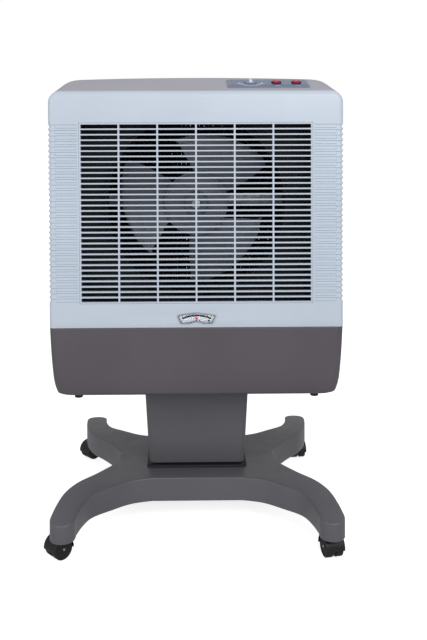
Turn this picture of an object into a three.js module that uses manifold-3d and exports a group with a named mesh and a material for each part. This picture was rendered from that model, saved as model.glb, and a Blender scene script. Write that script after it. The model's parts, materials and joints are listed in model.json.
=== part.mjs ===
// Evaporative cooler on a wheeled stand, in millimetres.
// +Z is up, the air outlet faces -Y, and the origin is on the floor under the centre of the base.
import * as THREE from 'three';
import { mergeVertices } from 'three/addons/utils/BufferGeometryUtils.js';
import Module from 'manifold-3d';

const wasm = await Module();
wasm.setup();

// ---------------------------------------------------------------- driving dimensions
const GAP = 0.3; // clearance between two pieces that touch
const REACH = 5; // how far a cutting tool runs past what it cuts
const OVERLAP = 1; // how far joined solids run into each other

const BODY_HALF_WIDTH = 350;
const BODY_FRONT_Y = -210;
const BODY_BACK_Y = 210;
const SEAM_Z = 501; // the body stands on the tank here
const FRONT_TOP_Z = 1060; // top edge of the front face
const TOP_Z = 1105; // flat part of the top
const SLOPE_LENGTH = 130; // depth of the slanted control face
const FRONT_CORNER_R = 24;
const REAR_CORNER_R = 60;
const WALL = 3;
const PANEL_DEPTH = 30; // how far the front panel wraps back
const COVER_SKIRT_Z = 1000; // lower edge of the top cover at the sides
const REAR_FRAME_DEPTH = 20;

const LOUVRE_ROWS = 33;
const LOUVRE_COLUMNS = 6;
const LOUVRE_HALF_WIDTH = 275;
const LOUVRE_BOTTOM_Z = 561;
const LOUVRE_TOP_Z = 986;
const LOUVRE_BAR = 3.4;
const LOUVRE_RIB = 4;
const LOUVRE_DEPTH = 12;
const LOUVRE_RECESS = 0.5; // the grille's face lies this far behind the panel's face
const FLUTE_HEIGHT = 2.6;
const FLUTE_DEPTH = 1.2;
const FLUTE_MARGIN = 5; // plain strip between the opening and the flutes

const TANK_BOTTOM_Z = 333.5;
const TANK_OVERHANG = 1; // the tank stands this much proud of the body
const TANK_WALL = 3.5;
const TANK_CORNER_R = 20;

const COLUMN_TOP_HALF = [133, 85];
const COLUMN_FOOT_HALF = [122, 72];
const COLUMN_WALL = 4;
const COLUMN_CORNER_R = 12;

const BASE_TOP_Z = 110;
const BASE_BOTTOM_Z = 52;
const BASE_TIP_DROP = 13; // the legs fall by this much at their tips
const BASE_LENGTH_HALF = 345;
const BASE_WALL = 4;
const STEM_X = 300;
const STEM_Y = 280;

const WHEEL_R = 24;
const WHEEL_WIDTH = 17.5;
const CASTER_TRAIL = 22;
const STEM_R = 5;
const SWIVEL_CLEARANCE = 0.1;

const FAN_Z = 790;
const FAN_Y = -95;
const HUB_R = 79;
const SHROUD_R = 222;
const SHAFT_R = 6;

const PAD_HALF_WIDTH = 296;
const PAD_BOTTOM_Z = 534;
const PAD_TOP_Z = 1042;
const PAD_FRONT_Y = 120;
const PAD_BACK_Y = 196;

const GAUGE_Z = 523; // height of the level gauge's pivot
const GAUGE_DEPTH = 4;
const GAUGE_RIM = 2.5;
const GAUGE_CARD = 0.8; // thickness of the dial and of the window
const LEVEL_ARM_LENGTH = 155;
const LEVEL_ARM_ANGLE = 257; // degrees from +X, seen from the front, with the tank empty
const POINTER_ANGLE = 121;
const POINTER_LENGTH = 10;

const DEG = Math.PI / 180;

// ---------------------------------------------------------------- materials
function plastic(color, roughness = 0.5, metalness = 0) {
  return new THREE.MeshStandardMaterial({ color, roughness, metalness });
}

const paleBlue = plastic('#d0dceb', 0.38);
const paleGrey = plastic('#c3c4cc', 0.42);
const tankGrey = plastic('#5c565e', 0.45);
const standGrey = plastic('#66656c', 0.42);
const black = plastic('#141417', 0.5);
const darkGrey = plastic('#2b2b33', 0.6);
const bladeGrey = plastic('#9c9fa8', 0.4);
const paddingBrown = plastic('#8a6a3c', 0.95);
const controlBlue = plastic('#8591ab', 0.35);
const switchRed = plastic('#c22c4c', 0.3);
const white = plastic('#f0f1f2', 0.4);
const clear = plastic('#e8eef0', 0.05);
const steel = plastic('#b9bcc0', 0.3, 1);
const brass = plastic('#b08d4c', 0.35, 1);

// ---------------------------------------------------------------- the model and its helpers
const cooler = new THREE.Group();

function place(name, geometry, material, parent = cooler) {
  const mesh = new THREE.Mesh(geometry, material);
  mesh.name = name;
  parent.add(mesh);
  return mesh;
}

function toSolid(geometry) {
  const bare = geometry.clone();
  bare.deleteAttribute('normal');
  bare.deleteAttribute('uv');
  const merged = mergeVertices(bare, 1e-4);
  const vertProperties = new Float32Array(merged.attributes.position.array);
  const triVerts = new Uint32Array(merged.index.array);
  return new wasm.Manifold(new wasm.Mesh({ numProp: 3, vertProperties, triVerts }));
}

function toGeometry(solid) {
  const mesh = solid.getMesh();
  const geometry = new THREE.BufferGeometry();
  geometry.setAttribute('position', new THREE.BufferAttribute(new Float32Array(mesh.vertProperties), 3));
  geometry.setIndex(new THREE.BufferAttribute(new Uint32Array(mesh.triVerts), 1));
  return geometry;
}

function join(...geometries) {
  return toGeometry(geometries.map(toSolid).reduce((whole, piece) => whole.add(piece)));
}

function cut(geometry, ...tools) {
  const tool = tools.map(toSolid).reduce((whole, piece) => whole.add(piece));
  return toGeometry(toSolid(geometry).subtract(tool));
}

// A box between two opposite corners.
function block(x0, x1, y0, y1, z0, z1) {
  const geometry = new THREE.BoxGeometry(x1 - x0, y1 - y0, z1 - z0);
  return geometry.translate((x0 + x1) / 2, (y0 + y1) / 2, (z0 + z1) / 2);
}

// Round bars along each axis, from start to end.
function barZ(radius, x, y, z0, z1, sides = 16) {
  const geometry = new THREE.CylinderGeometry(radius, radius, z1 - z0, sides);
  return geometry.rotateX(Math.PI / 2).translate(x, y, (z0 + z1) / 2);
}

function barY(radius, x, z, y0, y1, sides = 16) {
  const geometry = new THREE.CylinderGeometry(radius, radius, y1 - y0, sides);
  return geometry.translate(x, (y0 + y1) / 2, z);
}

// A solid turned about the Y axis: profile points are [radius, y].
function turnedY(profile, x, z, sides) {
  const points = profile.map(([radius, y]) => new THREE.Vector2(radius, y));
  return new THREE.LatheGeometry(points, sides).translate(x, 0, z);
}

// A flat outline drawn in x and z, given thickness from y0 to y1.
function slabY(shape, y0, y1, curveSegments = 8) {
  const geometry = new THREE.ExtrudeGeometry(shape, { depth: y1 - y0, bevelEnabled: false, curveSegments });
  return geometry.rotateX(Math.PI / 2).translate(0, y1, 0);
}

function slabZ(shape, z0, z1, curveSegments = 8) {
  const geometry = new THREE.ExtrudeGeometry(shape, { depth: z1 - z0, bevelEnabled: false, curveSegments });
  return geometry.translate(0, 0, z0);
}

function roundedRectangle(x0, x1, y0, y1, radius) {
  const shape = new THREE.Shape();
  shape.moveTo(x0 + radius, y0);
  shape.lineTo(x1 - radius, y0);
  shape.absarc(x1 - radius, y0 + radius, radius, -Math.PI / 2, 0);
  shape.lineTo(x1, y1 - radius);
  shape.absarc(x1 - radius, y1 - radius, radius, 0, Math.PI / 2);
  shape.lineTo(x0 + radius, y1);
  shape.absarc(x0 + radius, y1 - radius, radius, Math.PI / 2, Math.PI);
  shape.lineTo(x0, y0 + radius);
  shape.absarc(x0 + radius, y0 + radius, radius, Math.PI, 1.5 * Math.PI);
  return shape;
}

// A closed solid through rings of Vector3 that all have the same count and turn the same way.
// planeOf projects a ring to 2D so that its flat ends can be filled.
function loft(rings, planeOf) {
  const count = rings[0].length;
  const positions = [];
  const indices = [];
  for (const ring of rings) {
    for (const point of ring) {
      positions.push(point.x, point.y, point.z);
    }
  }
  for (let level = 0; level < rings.length - 1; level++) {
    for (let i = 0; i < count; i++) {
      const a = level * count + i;
      const b = level * count + ((i + 1) % count);
      indices.push(a, b, b + count, a, b + count, a + count);
    }
  }
  const last = (rings.length - 1) * count;
  const filled = (ring) => THREE.ShapeUtils.triangulateShape(ring.map(planeOf), []);
  for (const [a, b, c] of filled(rings[0])) {
    indices.push(a, c, b);
  }
  for (const [a, b, c] of filled(rings[rings.length - 1])) {
    indices.push(last + a, last + b, last + c);
  }
  const geometry = new THREE.BufferGeometry();
  geometry.setAttribute('position', new THREE.Float32BufferAttribute(positions, 3));
  geometry.setIndex(indices);
  const solid = toSolid(geometry);
  if (solid.volume() > 0) {
    return geometry;
  }
  for (let i = 0; i < indices.length; i += 3) {
    [indices[i], indices[i + 1]] = [indices[i + 1], indices[i]];
  }
  geometry.setIndex(indices);
  return geometry;
}

// ---------------------------------------------------------------- the body's outer form
const lerp = THREE.MathUtils.lerp;
const ARC_STEPS = 7;

function slopeShare(y) {
  return THREE.MathUtils.clamp((y - BODY_FRONT_Y) / SLOPE_LENGTH, 0, 1);
}

function roofZ(y) {
  return lerp(FRONT_TOP_Z, TOP_Z, slopeShare(y));
}

function roofCornerR(y) {
  return lerp(FRONT_CORNER_R, REAR_CORNER_R, slopeShare(y));
}

// The arch of the body at depth y, from the right side over the roof to the left side.
function archPoints(y, inset) {
  const radius = Math.max(roofCornerR(y) - inset, 2);
  const half = BODY_HALF_WIDTH - inset;
  const top = roofZ(y) - inset;
  const points = [];
  for (const side of [1, -1]) {
    for (let step = 0; step <= ARC_STEPS; step++) {
      const share = side > 0 ? step / ARC_STEPS : 1 - step / ARC_STEPS;
      const angle = (share * Math.PI) / 2;
      const x = side * (half - radius + radius * Math.cos(angle));
      points.push(new THREE.Vector3(x, y, top - radius + radius * Math.sin(angle)));
    }
  }
  return points;
}

// The body's closed outline at depth y, shrunk by inset, with its foot at bottomZ.
function bodyRing(y, inset, bottomZ) {
  const half = BODY_HALF_WIDTH - inset;
  const foot = [new THREE.Vector3(-half, y, bottomZ), new THREE.Vector3(half, y, bottomZ)];
  return [...foot, ...archPoints(y, inset)];
}

function bodyLoft(stations) {
  const rings = stations.map(([y, inset, bottomZ]) => bodyRing(y, inset, bottomZ));
  return loft(rings, (point) => new THREE.Vector2(point.x, point.z));
}

// ---------------------------------------------------------------- front panel
const PANEL_BOTTOM_Z = SEAM_Z + GAP;
const PANEL_BACK_Y = BODY_FRONT_Y + PANEL_DEPTH;
const PANEL_EDGE = [[0, 9], [2, 4], [6, 1], [11, 0]]; // depth behind the front face, inset of the outline
const PANEL_FOOT_RISE = 2; // how much higher the foot is at the very front
const PIVOT_HOLE_R = 5;
const LOUVRE_PITCH = (LOUVRE_TOP_Z - LOUVRE_BOTTOM_Z) / LOUVRE_ROWS;
const GRILLE_MARGIN = 2;

function frontPanel() {
  const footZ = (depth) => PANEL_BOTTOM_Z + (depth === 0 ? PANEL_FOOT_RISE : 0);
  const edgeRings = PANEL_EDGE.map(([depth, inset]) => [BODY_FRONT_Y + depth, inset, footZ(depth)]);
  const shell = bodyLoft([...edgeRings, [PANEL_BACK_Y, 0, PANEL_BOTTOM_Z]]);
  const [frontDepth, frontInset] = PANEL_EDGE[0];
  const [shoulderDepth, shoulderInset] = PANEL_EDGE[2];
  const hollow = bodyLoft([
    [BODY_FRONT_Y + WALL + frontDepth, frontInset, PANEL_BOTTOM_Z + WALL],
    [BODY_FRONT_Y + WALL + shoulderDepth, WALL + shoulderInset, PANEL_BOTTOM_Z + WALL],
    [PANEL_BACK_Y + OVERLAP, WALL, PANEL_BOTTOM_Z + WALL],
  ]);
  const edge = LOUVRE_HALF_WIDTH + GRILLE_MARGIN;
  const low = LOUVRE_BOTTOM_Z - GRILLE_MARGIN;
  const high = LOUVRE_TOP_Z + GRILLE_MARGIN;
  const opening = block(-edge, edge, BODY_FRONT_Y - REACH, BODY_FRONT_Y + REACH, low, high);
  const pivot = barY(PIVOT_HOLE_R, 0, GAUGE_Z, BODY_FRONT_Y - REACH, BODY_FRONT_Y + REACH, 12);
  const flutes = [];
  for (let row = 0; row < LOUVRE_ROWS; row++) {
    const z = LOUVRE_BOTTOM_Z + (row + 0.5) * LOUVRE_PITCH;
    for (const side of [-1, 1]) {
      const inner = side * (edge + FLUTE_MARGIN);
      const outer = side * (BODY_HALF_WIDTH + REACH);
      const [x0, x1] = [Math.min(inner, outer), Math.max(inner, outer)];
      const halfHeight = FLUTE_HEIGHT / 2;
      const [y0, y1] = [BODY_FRONT_Y - REACH, BODY_FRONT_Y + FLUTE_DEPTH];
      flutes.push(block(x0, x1, y0, y1, z - halfHeight, z + halfHeight));
    }
  }
  return cut(shell, hollow, opening, pivot, ...flutes);
}

place('front_panel', frontPanel(), paleBlue);

// ---------------------------------------------------------------- front louvre grille
function slottedPlate(x0, x1, z0, z1, y0, y1, border, rows, columns, bar, rib) {
  const pitchX = (x1 - x0 - 2 * border) / columns;
  const pitchZ = (z1 - z0 - 2 * border) / rows;
  const slots = [];
  for (let column = 0; column < columns; column++) {
    for (let row = 0; row < rows; row++) {
      const left = x0 + border + column * pitchX + rib / 2;
      const low = z0 + border + row * pitchZ + bar / 2;
      slots.push(block(left, left + pitchX - rib, y0 - REACH, y1 + REACH, low, low + pitchZ - bar));
    }
  }
  return cut(block(x0, x1, y0, y1, z0, z1), ...slots);
}

const grilleEdge = LOUVRE_HALF_WIDTH + GRILLE_MARGIN - GAP;
const grilleLow = LOUVRE_BOTTOM_Z - GRILLE_MARGIN + GAP;
const grilleHigh = LOUVRE_TOP_Z + GRILLE_MARGIN - GAP;
const frontGrille = slottedPlate(
  -grilleEdge, grilleEdge, grilleLow, grilleHigh,
  BODY_FRONT_Y + LOUVRE_RECESS, BODY_FRONT_Y + LOUVRE_RECESS + LOUVRE_DEPTH,
  GRILLE_MARGIN - GAP, LOUVRE_ROWS, LOUVRE_COLUMNS, LOUVRE_BAR, LOUVRE_RIB,
);
place('front_grille', frontGrille, paleBlue);

// ---------------------------------------------------------------- top cover and side panels
const COVER_FRONT_Y = PANEL_BACK_Y + GAP;
const COVER_BACK_Y = BODY_BACK_Y - REAR_FRAME_DEPTH - GAP;

function topCover() {
  const band = (y) => {
    const outer = archPoints(y, 0);
    const inner = archPoints(y, WALL).reverse();
    const foot = (x) => new THREE.Vector3(x, y, COVER_SKIRT_Z);
    const outerX = BODY_HALF_WIDTH;
    const innerX = BODY_HALF_WIDTH - WALL;
    return [foot(outerX), ...outer, foot(-outerX), foot(-innerX), ...inner, foot(innerX)];
  };
  const slopeEnd = BODY_FRONT_Y + SLOPE_LENGTH;
  const rings = [COVER_FRONT_Y, slopeEnd, COVER_BACK_Y].map(band);
  return loft(rings, (point) => new THREE.Vector2(point.x, point.z));
}

place('top_cover', topCover(), paleGrey);

for (const [name, side] of [['left_side_panel', -1], ['right_side_panel', 1]]) {
  const inner = side * (BODY_HALF_WIDTH - WALL);
  const outer = side * BODY_HALF_WIDTH;
  const [x0, x1] = [Math.min(inner, outer), Math.max(inner, outer)];
  const sheet = block(x0, x1, COVER_FRONT_Y, COVER_BACK_Y, PANEL_BOTTOM_Z, COVER_SKIRT_Z - GAP);
  place(name, sheet, paleGrey);
}

// ---------------------------------------------------------------- rear frame and its services
const REAR_FRAME_Y = BODY_BACK_Y - REAR_FRAME_DEPTH;
const REAR_OPENING = { half: 303, low: 528, high: 1049 };
const REAR_EDGE_DEPTH = 8; // depth of the rounding round the back
const REAR_EDGE_INSET = 7;
const REAR_SHOULDER = { depth: 3, inset: 2 };
const INLET_X = -270;
const INLET_R = 10;
const GLAND_X = 270;
const GLAND = { boreR: 5, neckR: 8, flangeR: 12, rimR: 10, innerY: BODY_BACK_Y - 10, outerY: BODY_BACK_Y + 10 };
const SERVICE_Z = 516;

function rearFrame() {
  const shell = bodyLoft([
    [REAR_FRAME_Y, 0, PANEL_BOTTOM_Z],
    [BODY_BACK_Y - REAR_EDGE_DEPTH, 0, PANEL_BOTTOM_Z],
    [BODY_BACK_Y - REAR_SHOULDER.depth, REAR_SHOULDER.inset, PANEL_BOTTOM_Z],
    [BODY_BACK_Y, REAR_EDGE_INSET, PANEL_BOTTOM_Z + PANEL_FOOT_RISE],
  ]);
  const hollow = bodyLoft([
    [REAR_FRAME_Y - OVERLAP, WALL, PANEL_BOTTOM_Z + WALL],
    [BODY_BACK_Y - REAR_EDGE_DEPTH, WALL, PANEL_BOTTOM_Z + WALL],
    [BODY_BACK_Y - WALL, REAR_EDGE_INSET + OVERLAP, PANEL_BOTTOM_Z + WALL],
  ]);
  const { half, low, high } = REAR_OPENING;
  const [front, back] = [REAR_FRAME_Y - REACH, BODY_BACK_Y + REACH];
  const opening = block(-half, half, front, back, low, high);
  const inletHole = barY(INLET_R + GAP, INLET_X, SERVICE_Z, front, back);
  const glandHole = barY(GLAND.neckR + GAP, GLAND_X, SERVICE_Z, front, back);
  return cut(shell, hollow, opening, inletHole, glandHole);
}

place('rear_frame', rearFrame(), paleBlue);

// The gland has a through hole for a cord and a flange outside.
const cordGland = turnedY([
  [GLAND.boreR, GLAND.innerY],
  [GLAND.neckR, GLAND.innerY],
  [GLAND.neckR, BODY_BACK_Y + GAP],
  [GLAND.flangeR, BODY_BACK_Y + GAP],
  [GLAND.rimR, GLAND.outerY],
  [GLAND.boreR, GLAND.outerY],
  [GLAND.boreR, GLAND.innerY],
], GLAND_X, SERVICE_Z, 16);
place('cord_gland', cordGland, black);

// ---------------------------------------------------------------- lift-off rear intake with its pad
const UNIT_CLEARANCE = 2; // all round, so that the unit lifts off
const UNIT_HALF = REAR_OPENING.half - UNIT_CLEARANCE;
const UNIT_LOW = REAR_OPENING.low + UNIT_CLEARANCE;
const UNIT_HIGH = REAR_OPENING.high - UNIT_CLEARANCE;
const PAD_FRAME_FRONT_Y = PAD_FRONT_Y - 2;
const PAD_FRAME_BACK_Y = PAD_BACK_Y + 1;
const INTAKE = { border: 10, rows: 18, columns: 2, bar: 8, rib: 12 };
const rearGrille = slottedPlate(
  -UNIT_HALF, UNIT_HALF, UNIT_LOW, UNIT_HIGH, PAD_FRAME_BACK_Y + GAP, BODY_BACK_Y,
  INTAKE.border, INTAKE.rows, INTAKE.columns, INTAKE.bar, INTAKE.rib,
);
place('rear_intake_grille', rearGrille, paleBlue);

const padFrame = cut(
  block(-UNIT_HALF, UNIT_HALF, PAD_FRAME_FRONT_Y, PAD_FRAME_BACK_Y, UNIT_LOW, UNIT_HIGH),
  block(
    -PAD_HALF_WIDTH - GAP, PAD_HALF_WIDTH + GAP,
    PAD_FRAME_FRONT_Y - REACH, PAD_FRAME_BACK_Y + REACH,
    PAD_BOTTOM_Z - GAP, PAD_TOP_Z + GAP,
  ),
);
place('pad_frame', padFrame, darkGrey);

const padBlock = block(-PAD_HALF_WIDTH, PAD_HALF_WIDTH, PAD_FRONT_Y, PAD_BACK_Y, PAD_BOTTOM_Z, PAD_TOP_Z);
place('cooling_pad', padBlock, paddingBrown);

// ---------------------------------------------------------------- tank
function tankRing(z, inset, cornerR) {
  const halfX = BODY_HALF_WIDTH + TANK_OVERHANG - inset;
  const halfY = BODY_BACK_Y + TANK_OVERHANG - inset;
  const outline = roundedRectangle(-halfX, halfX, -halfY, halfY, cornerR);
  return outline.getPoints(3).map((point) => new THREE.Vector3(point.x, point.y, z));
}

const overhead = (point) => new THREE.Vector2(point.x, point.y);

function tankRings(profile, thickness) {
  return profile.map(([z, inset]) => tankRing(z, inset + thickness, TANK_CORNER_R + inset / 2));
}

// Height above the tank's underside, and inset of the outline there.
const TANK_OUTSIDE = [[0, 30], [2.5, 20], [9, 13.5], [40, 6.9], [100, 2.6]];
const TANK_INSIDE = [[TANK_WALL, 30], [12, 14], [40, 6.9], [100, 2.6]];

const DRAIN_X = -250;
const DRAIN_Z = 362;
const DRAIN_R = 9;
const DRAIN_HEAD_R = 15;

function tank() {
  const raised = ([height, inset]) => [TANK_BOTTOM_Z + height, inset];
  const outer = loft(tankRings([...TANK_OUTSIDE.map(raised), [SEAM_Z, 0]], 0), overhead);
  const inner = loft(tankRings([...TANK_INSIDE.map(raised), [SEAM_Z + OVERLAP, 0]], TANK_WALL), overhead);
  const drain = barY(DRAIN_R + GAP, DRAIN_X, DRAIN_Z, BODY_BACK_Y - 60, BODY_BACK_Y + 50);
  return cut(outer, inner, drain);
}

place('tank', tank(), tankGrey);

const DRAIN_INNER_Y = BODY_BACK_Y - 24;
const DRAIN_HEAD_Y = BODY_BACK_Y - 3.5;
const DRAIN_RIM_Y = BODY_BACK_Y + 4;
const DRAIN_OUTER_Y = BODY_BACK_Y + 6;
const drainPlug = turnedY([
  [0, DRAIN_INNER_Y],
  [DRAIN_R, DRAIN_INNER_Y],
  [DRAIN_R, DRAIN_HEAD_Y],
  [DRAIN_HEAD_R, DRAIN_HEAD_Y],
  [DRAIN_HEAD_R, DRAIN_RIM_Y],
  [DRAIN_HEAD_R - 2, DRAIN_OUTER_Y],
  [0, DRAIN_OUTER_Y],
], DRAIN_X, DRAIN_Z, 16);
place('drain_plug', drainPlug, black);

const TANK_FOOT = { x: 287, y: 165, radius: 10, height: 10 };
for (const [name, sideX, sideY] of [
  ['front_left', -1, -1],
  ['front_right', 1, -1],
  ['rear_left', -1, 1],
  ['rear_right', 1, 1],
]) {
  const [x, y] = [sideX * TANK_FOOT.x, sideY * TANK_FOOT.y];
  const foot = barZ(TANK_FOOT.radius, x, y, TANK_BOTTOM_Z - TANK_FOOT.height, TANK_BOTTOM_Z - GAP);
  place(`tank_foot_${name}`, foot, black);
}

// ---------------------------------------------------------------- water circuit
const PUMP_X = 250;
const PUMP_Y = 60;
const PUMP_FLOOR_Z = TANK_BOTTOM_Z + TANK_WALL + GAP;
const PUMP_FOOT = { radius: 42, height: 18 };
const PUMP_BODY = { radius: 33, height: 85 };
const PUMP_OUTLET = { radius: 9, height: 100 };
const RISER_R = 8;
const RISER_Y = 95;
const RISER_TOP_Z = 1090;

const pump = join(
  barZ(PUMP_FOOT.radius, PUMP_X, PUMP_Y, PUMP_FLOOR_Z, PUMP_FLOOR_Z + PUMP_FOOT.height, 20),
  barZ(
    PUMP_BODY.radius, PUMP_X, PUMP_Y,
    PUMP_FLOOR_Z + PUMP_FOOT.height - OVERLAP, PUMP_FLOOR_Z + PUMP_BODY.height, 20,
  ),
  barZ(
    PUMP_OUTLET.radius, PUMP_X, PUMP_Y,
    PUMP_FLOOR_Z + PUMP_BODY.height - REACH, PUMP_FLOOR_Z + PUMP_OUTLET.height, 12,
  ),
);
place('water_pump', pump, black);

const TROUGH = { half: 300, front: 128, back: 182, low: 1056, high: 1080, wall: 3 };
const DRIPS = 9;
const DRIP_R = 3;
const DRIP_MARGIN = 30; // from the trough's end to its last drip hole

function riser() {
  const start = PUMP_FLOOR_Z + PUMP_OUTLET.height + GAP;
  const points = [
    [PUMP_X, PUMP_Y, start],
    [PUMP_X, PUMP_Y, start + 50],
    [PUMP_X, RISER_Y, start + 110],
    [PUMP_X, RISER_Y, RISER_TOP_Z - 20],
    [PUMP_X, RISER_Y + 17, RISER_TOP_Z - 1],
    [PUMP_X, RISER_Y + 55, RISER_TOP_Z],
  ].map(([x, y, z]) => new THREE.Vector3(x, y, z));
  const section = new THREE.Shape();
  section.absarc(0, 0, RISER_R, 0, 2 * Math.PI);
  return new THREE.ExtrudeGeometry(section, {
    extrudePath: new THREE.CatmullRomCurve3(points, false, 'centripetal'),
    steps: 18,
    curveSegments: 4,
    bevelEnabled: false,
  });
}

place('riser_pipe', riser(), darkGrey);

function waterDistributor() {
  const { half, front, back, low, high, wall } = TROUGH;
  const outer = block(-half, half, front, back, low, high);
  const inner = block(-half + wall, half - wall, front + wall, back - wall, low + wall, high + OVERLAP);
  const drips = [];
  for (let i = 0; i < DRIPS; i++) {
    const x = lerp(-half + DRIP_MARGIN, half - DRIP_MARGIN, i / (DRIPS - 1));
    drips.push(barZ(DRIP_R, x, (front + back) / 2, low - OVERLAP, low + wall + OVERLAP, 8));
  }
  return cut(outer, inner, ...drips);
}

place('water_distributor', waterDistributor(), paleGrey);

// Ball-cock inlet: threaded spigot outside, valve block inside, and an arm with a float.
const VALVE_PIVOT = { x: INLET_X + 16, z: SERVICE_Z - 8 };
const VALVE_ARM_LENGTH = 95;
const VALVE_ARM_ANGLE = -40;
const VALVE_PIN_R = 2.5;
const VALVE_BLOCK = { front: 170, back: 186, left: 12, right: 22, below: 14, above: 12 };
const VALVE_ARM_Y = VALVE_BLOCK.front - 8;
const VALVE_ARM_THICKNESS = 3;
const VALVE_FLOAT = { radius: 26, length: 62 };
const SPIGOT_END_Y = BODY_BACK_Y + 16;

const inletFitting = join(
  barY(INLET_R, INLET_X, SERVICE_Z, VALVE_BLOCK.back - REACH - OVERLAP, SPIGOT_END_Y),
  barY(INLET_R + 2, INLET_X, SERVICE_Z, BODY_BACK_Y + GAP, BODY_BACK_Y + 5),
  block(
    INLET_X - VALVE_BLOCK.left, INLET_X + VALVE_BLOCK.right,
    VALVE_BLOCK.front, VALVE_BLOCK.back,
    SERVICE_Z - VALVE_BLOCK.below, SERVICE_Z + VALVE_BLOCK.above,
  ),
  barY(VALVE_PIN_R, VALVE_PIVOT.x, VALVE_PIVOT.z, VALVE_ARM_Y - 4, VALVE_BLOCK.front + OVERLAP, 12),
);
place('inlet_fitting', inletFitting, brass);

const LEVER_WIDTH = 6;
const LEVER_EYE_R = 7;

// A lever in a plane of constant y, from its pivot, at an angle from +X seen from the front.
function lever(pivot, angle, length, y0, y1, width, eyeR) {
  const bar = block(0, length, y0, y1, -width / 2, width / 2);
  const eye = barY(eyeR, 0, 0, y0, y1);
  return join(bar, eye).rotateY(-angle * DEG).translate(pivot.x, 0, pivot.z);
}

function leverEnd(pivot, angle, length) {
  return { x: pivot.x + length * Math.cos(angle * DEG), z: pivot.z + length * Math.sin(angle * DEG) };
}

const inletArm = cut(
  lever(
    VALVE_PIVOT, VALVE_ARM_ANGLE, VALVE_ARM_LENGTH,
    VALVE_ARM_Y, VALVE_ARM_Y + VALVE_ARM_THICKNESS, LEVER_WIDTH, LEVER_EYE_R,
  ),
  barY(VALVE_PIN_R + GAP, VALVE_PIVOT.x, VALVE_PIVOT.z, VALVE_ARM_Y - REACH, VALVE_BLOCK.front + REACH, 12),
);
place('inlet_arm', inletArm, brass);
const inletEnd = leverEnd(VALVE_PIVOT, VALVE_ARM_ANGLE, VALVE_ARM_LENGTH - 12);
const inletFloat = barY(
  VALVE_FLOAT.radius, inletEnd.x, inletEnd.z, VALVE_ARM_Y - VALVE_FLOAT.length, VALVE_ARM_Y - GAP, 20,
);
place('inlet_float', inletFloat, black);

// ---------------------------------------------------------------- level gauge with its float
const GAUGE_FRONT_Y = BODY_FRONT_Y - GAP;
const SPINDLE_R = 1.8;
const SPINDLE_HOLE_R = 2;
const POINTER = { front: GAUGE_FRONT_Y - 2.6, back: GAUGE_FRONT_Y - 1.7, width: 1.6, eyeR: 2.4 };
const gaugeRim = { half: 46, topZ: 537, dip: 5, lowHalf: 38, lowZ: 512 };

// Sector outline: an arched top, slanted ends, and a shallow arch in the lower edge.
function gaugeOutline(inset) {
  const { half, topZ, dip, lowHalf, lowZ } = gaugeRim;
  const shape = new THREE.Shape();
  shape.moveTo(-lowHalf + inset, lowZ + inset);
  shape.lineTo(-15 - inset / 2, lowZ + inset);
  shape.quadraticCurveTo(0, lowZ + 9 + inset, 15 + inset / 2, lowZ + inset);
  shape.lineTo(lowHalf - inset, lowZ + inset);
  shape.lineTo(half - 1.4 * inset, topZ - dip - inset);
  shape.quadraticCurveTo(0, topZ + dip - inset, -half + 1.4 * inset, topZ - dip - inset);
  shape.closePath();
  return shape;
}

const gaugeBezel = cut(
  slabY(gaugeOutline(0), GAUGE_FRONT_Y - GAUGE_DEPTH, GAUGE_FRONT_Y),
  slabY(gaugeOutline(GAUGE_RIM), GAUGE_FRONT_Y - GAUGE_DEPTH - OVERLAP, GAUGE_FRONT_Y + OVERLAP),
);
place('gauge_bezel', gaugeBezel, steel);

const dialPlate = cut(
  slabY(gaugeOutline(GAUGE_RIM + GAP), GAUGE_FRONT_Y - GAUGE_CARD, GAUGE_FRONT_Y),
  barY(SPINDLE_HOLE_R, 0, GAUGE_Z, GAUGE_FRONT_Y - REACH, GAUGE_FRONT_Y + REACH, 12),
);
place('gauge_dial', dialPlate, white);
const windowFrontY = GAUGE_FRONT_Y - GAUGE_DEPTH;
const windowPane = slabY(gaugeOutline(GAUGE_RIM + GAP), windowFrontY, windowFrontY + GAUGE_CARD);
place('gauge_window', windowPane, clear);

const pivotPoint = { x: 0, z: GAUGE_Z };
const pointer = lever(
  pivotPoint, POINTER_ANGLE, POINTER_LENGTH, POINTER.front, POINTER.back, POINTER.width, POINTER.eyeR,
);
place('gauge_pointer', pointer, switchRed);

// The lever's spindle reaches through the panel to the pointer.
const LEVEL_ARM_Y = -174;
const LEVEL_ARM_BACK_Y = LEVEL_ARM_Y + 3;
const LEVEL_FLOAT = { radius: 24, backY: LEVEL_ARM_Y + 60 };
const levelLever = join(
  lever(
    pivotPoint, LEVEL_ARM_ANGLE, LEVEL_ARM_LENGTH, LEVEL_ARM_Y, LEVEL_ARM_BACK_Y, LEVER_WIDTH, LEVER_EYE_R,
  ),
  barY(SPINDLE_R, 0, GAUGE_Z, POINTER.back + GAP, LEVEL_ARM_Y + OVERLAP, 12),
);
place('level_lever', levelLever, brass);
const levelEnd = leverEnd(pivotPoint, LEVEL_ARM_ANGLE, LEVEL_ARM_LENGTH - 20);
const levelFloat = barY(
  LEVEL_FLOAT.radius, levelEnd.x, levelEnd.z, LEVEL_ARM_BACK_Y + GAP, LEVEL_FLOAT.backY, 20,
);
place('level_float', levelFloat, white);

// ---------------------------------------------------------------- fan, motor and shroud
const SHROUD = { half: 344, plateY: FAN_Y + 6, wall: 3, low: SEAM_Z + 6, high: 1034, halfDepth: 32, sides: 32 };

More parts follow.
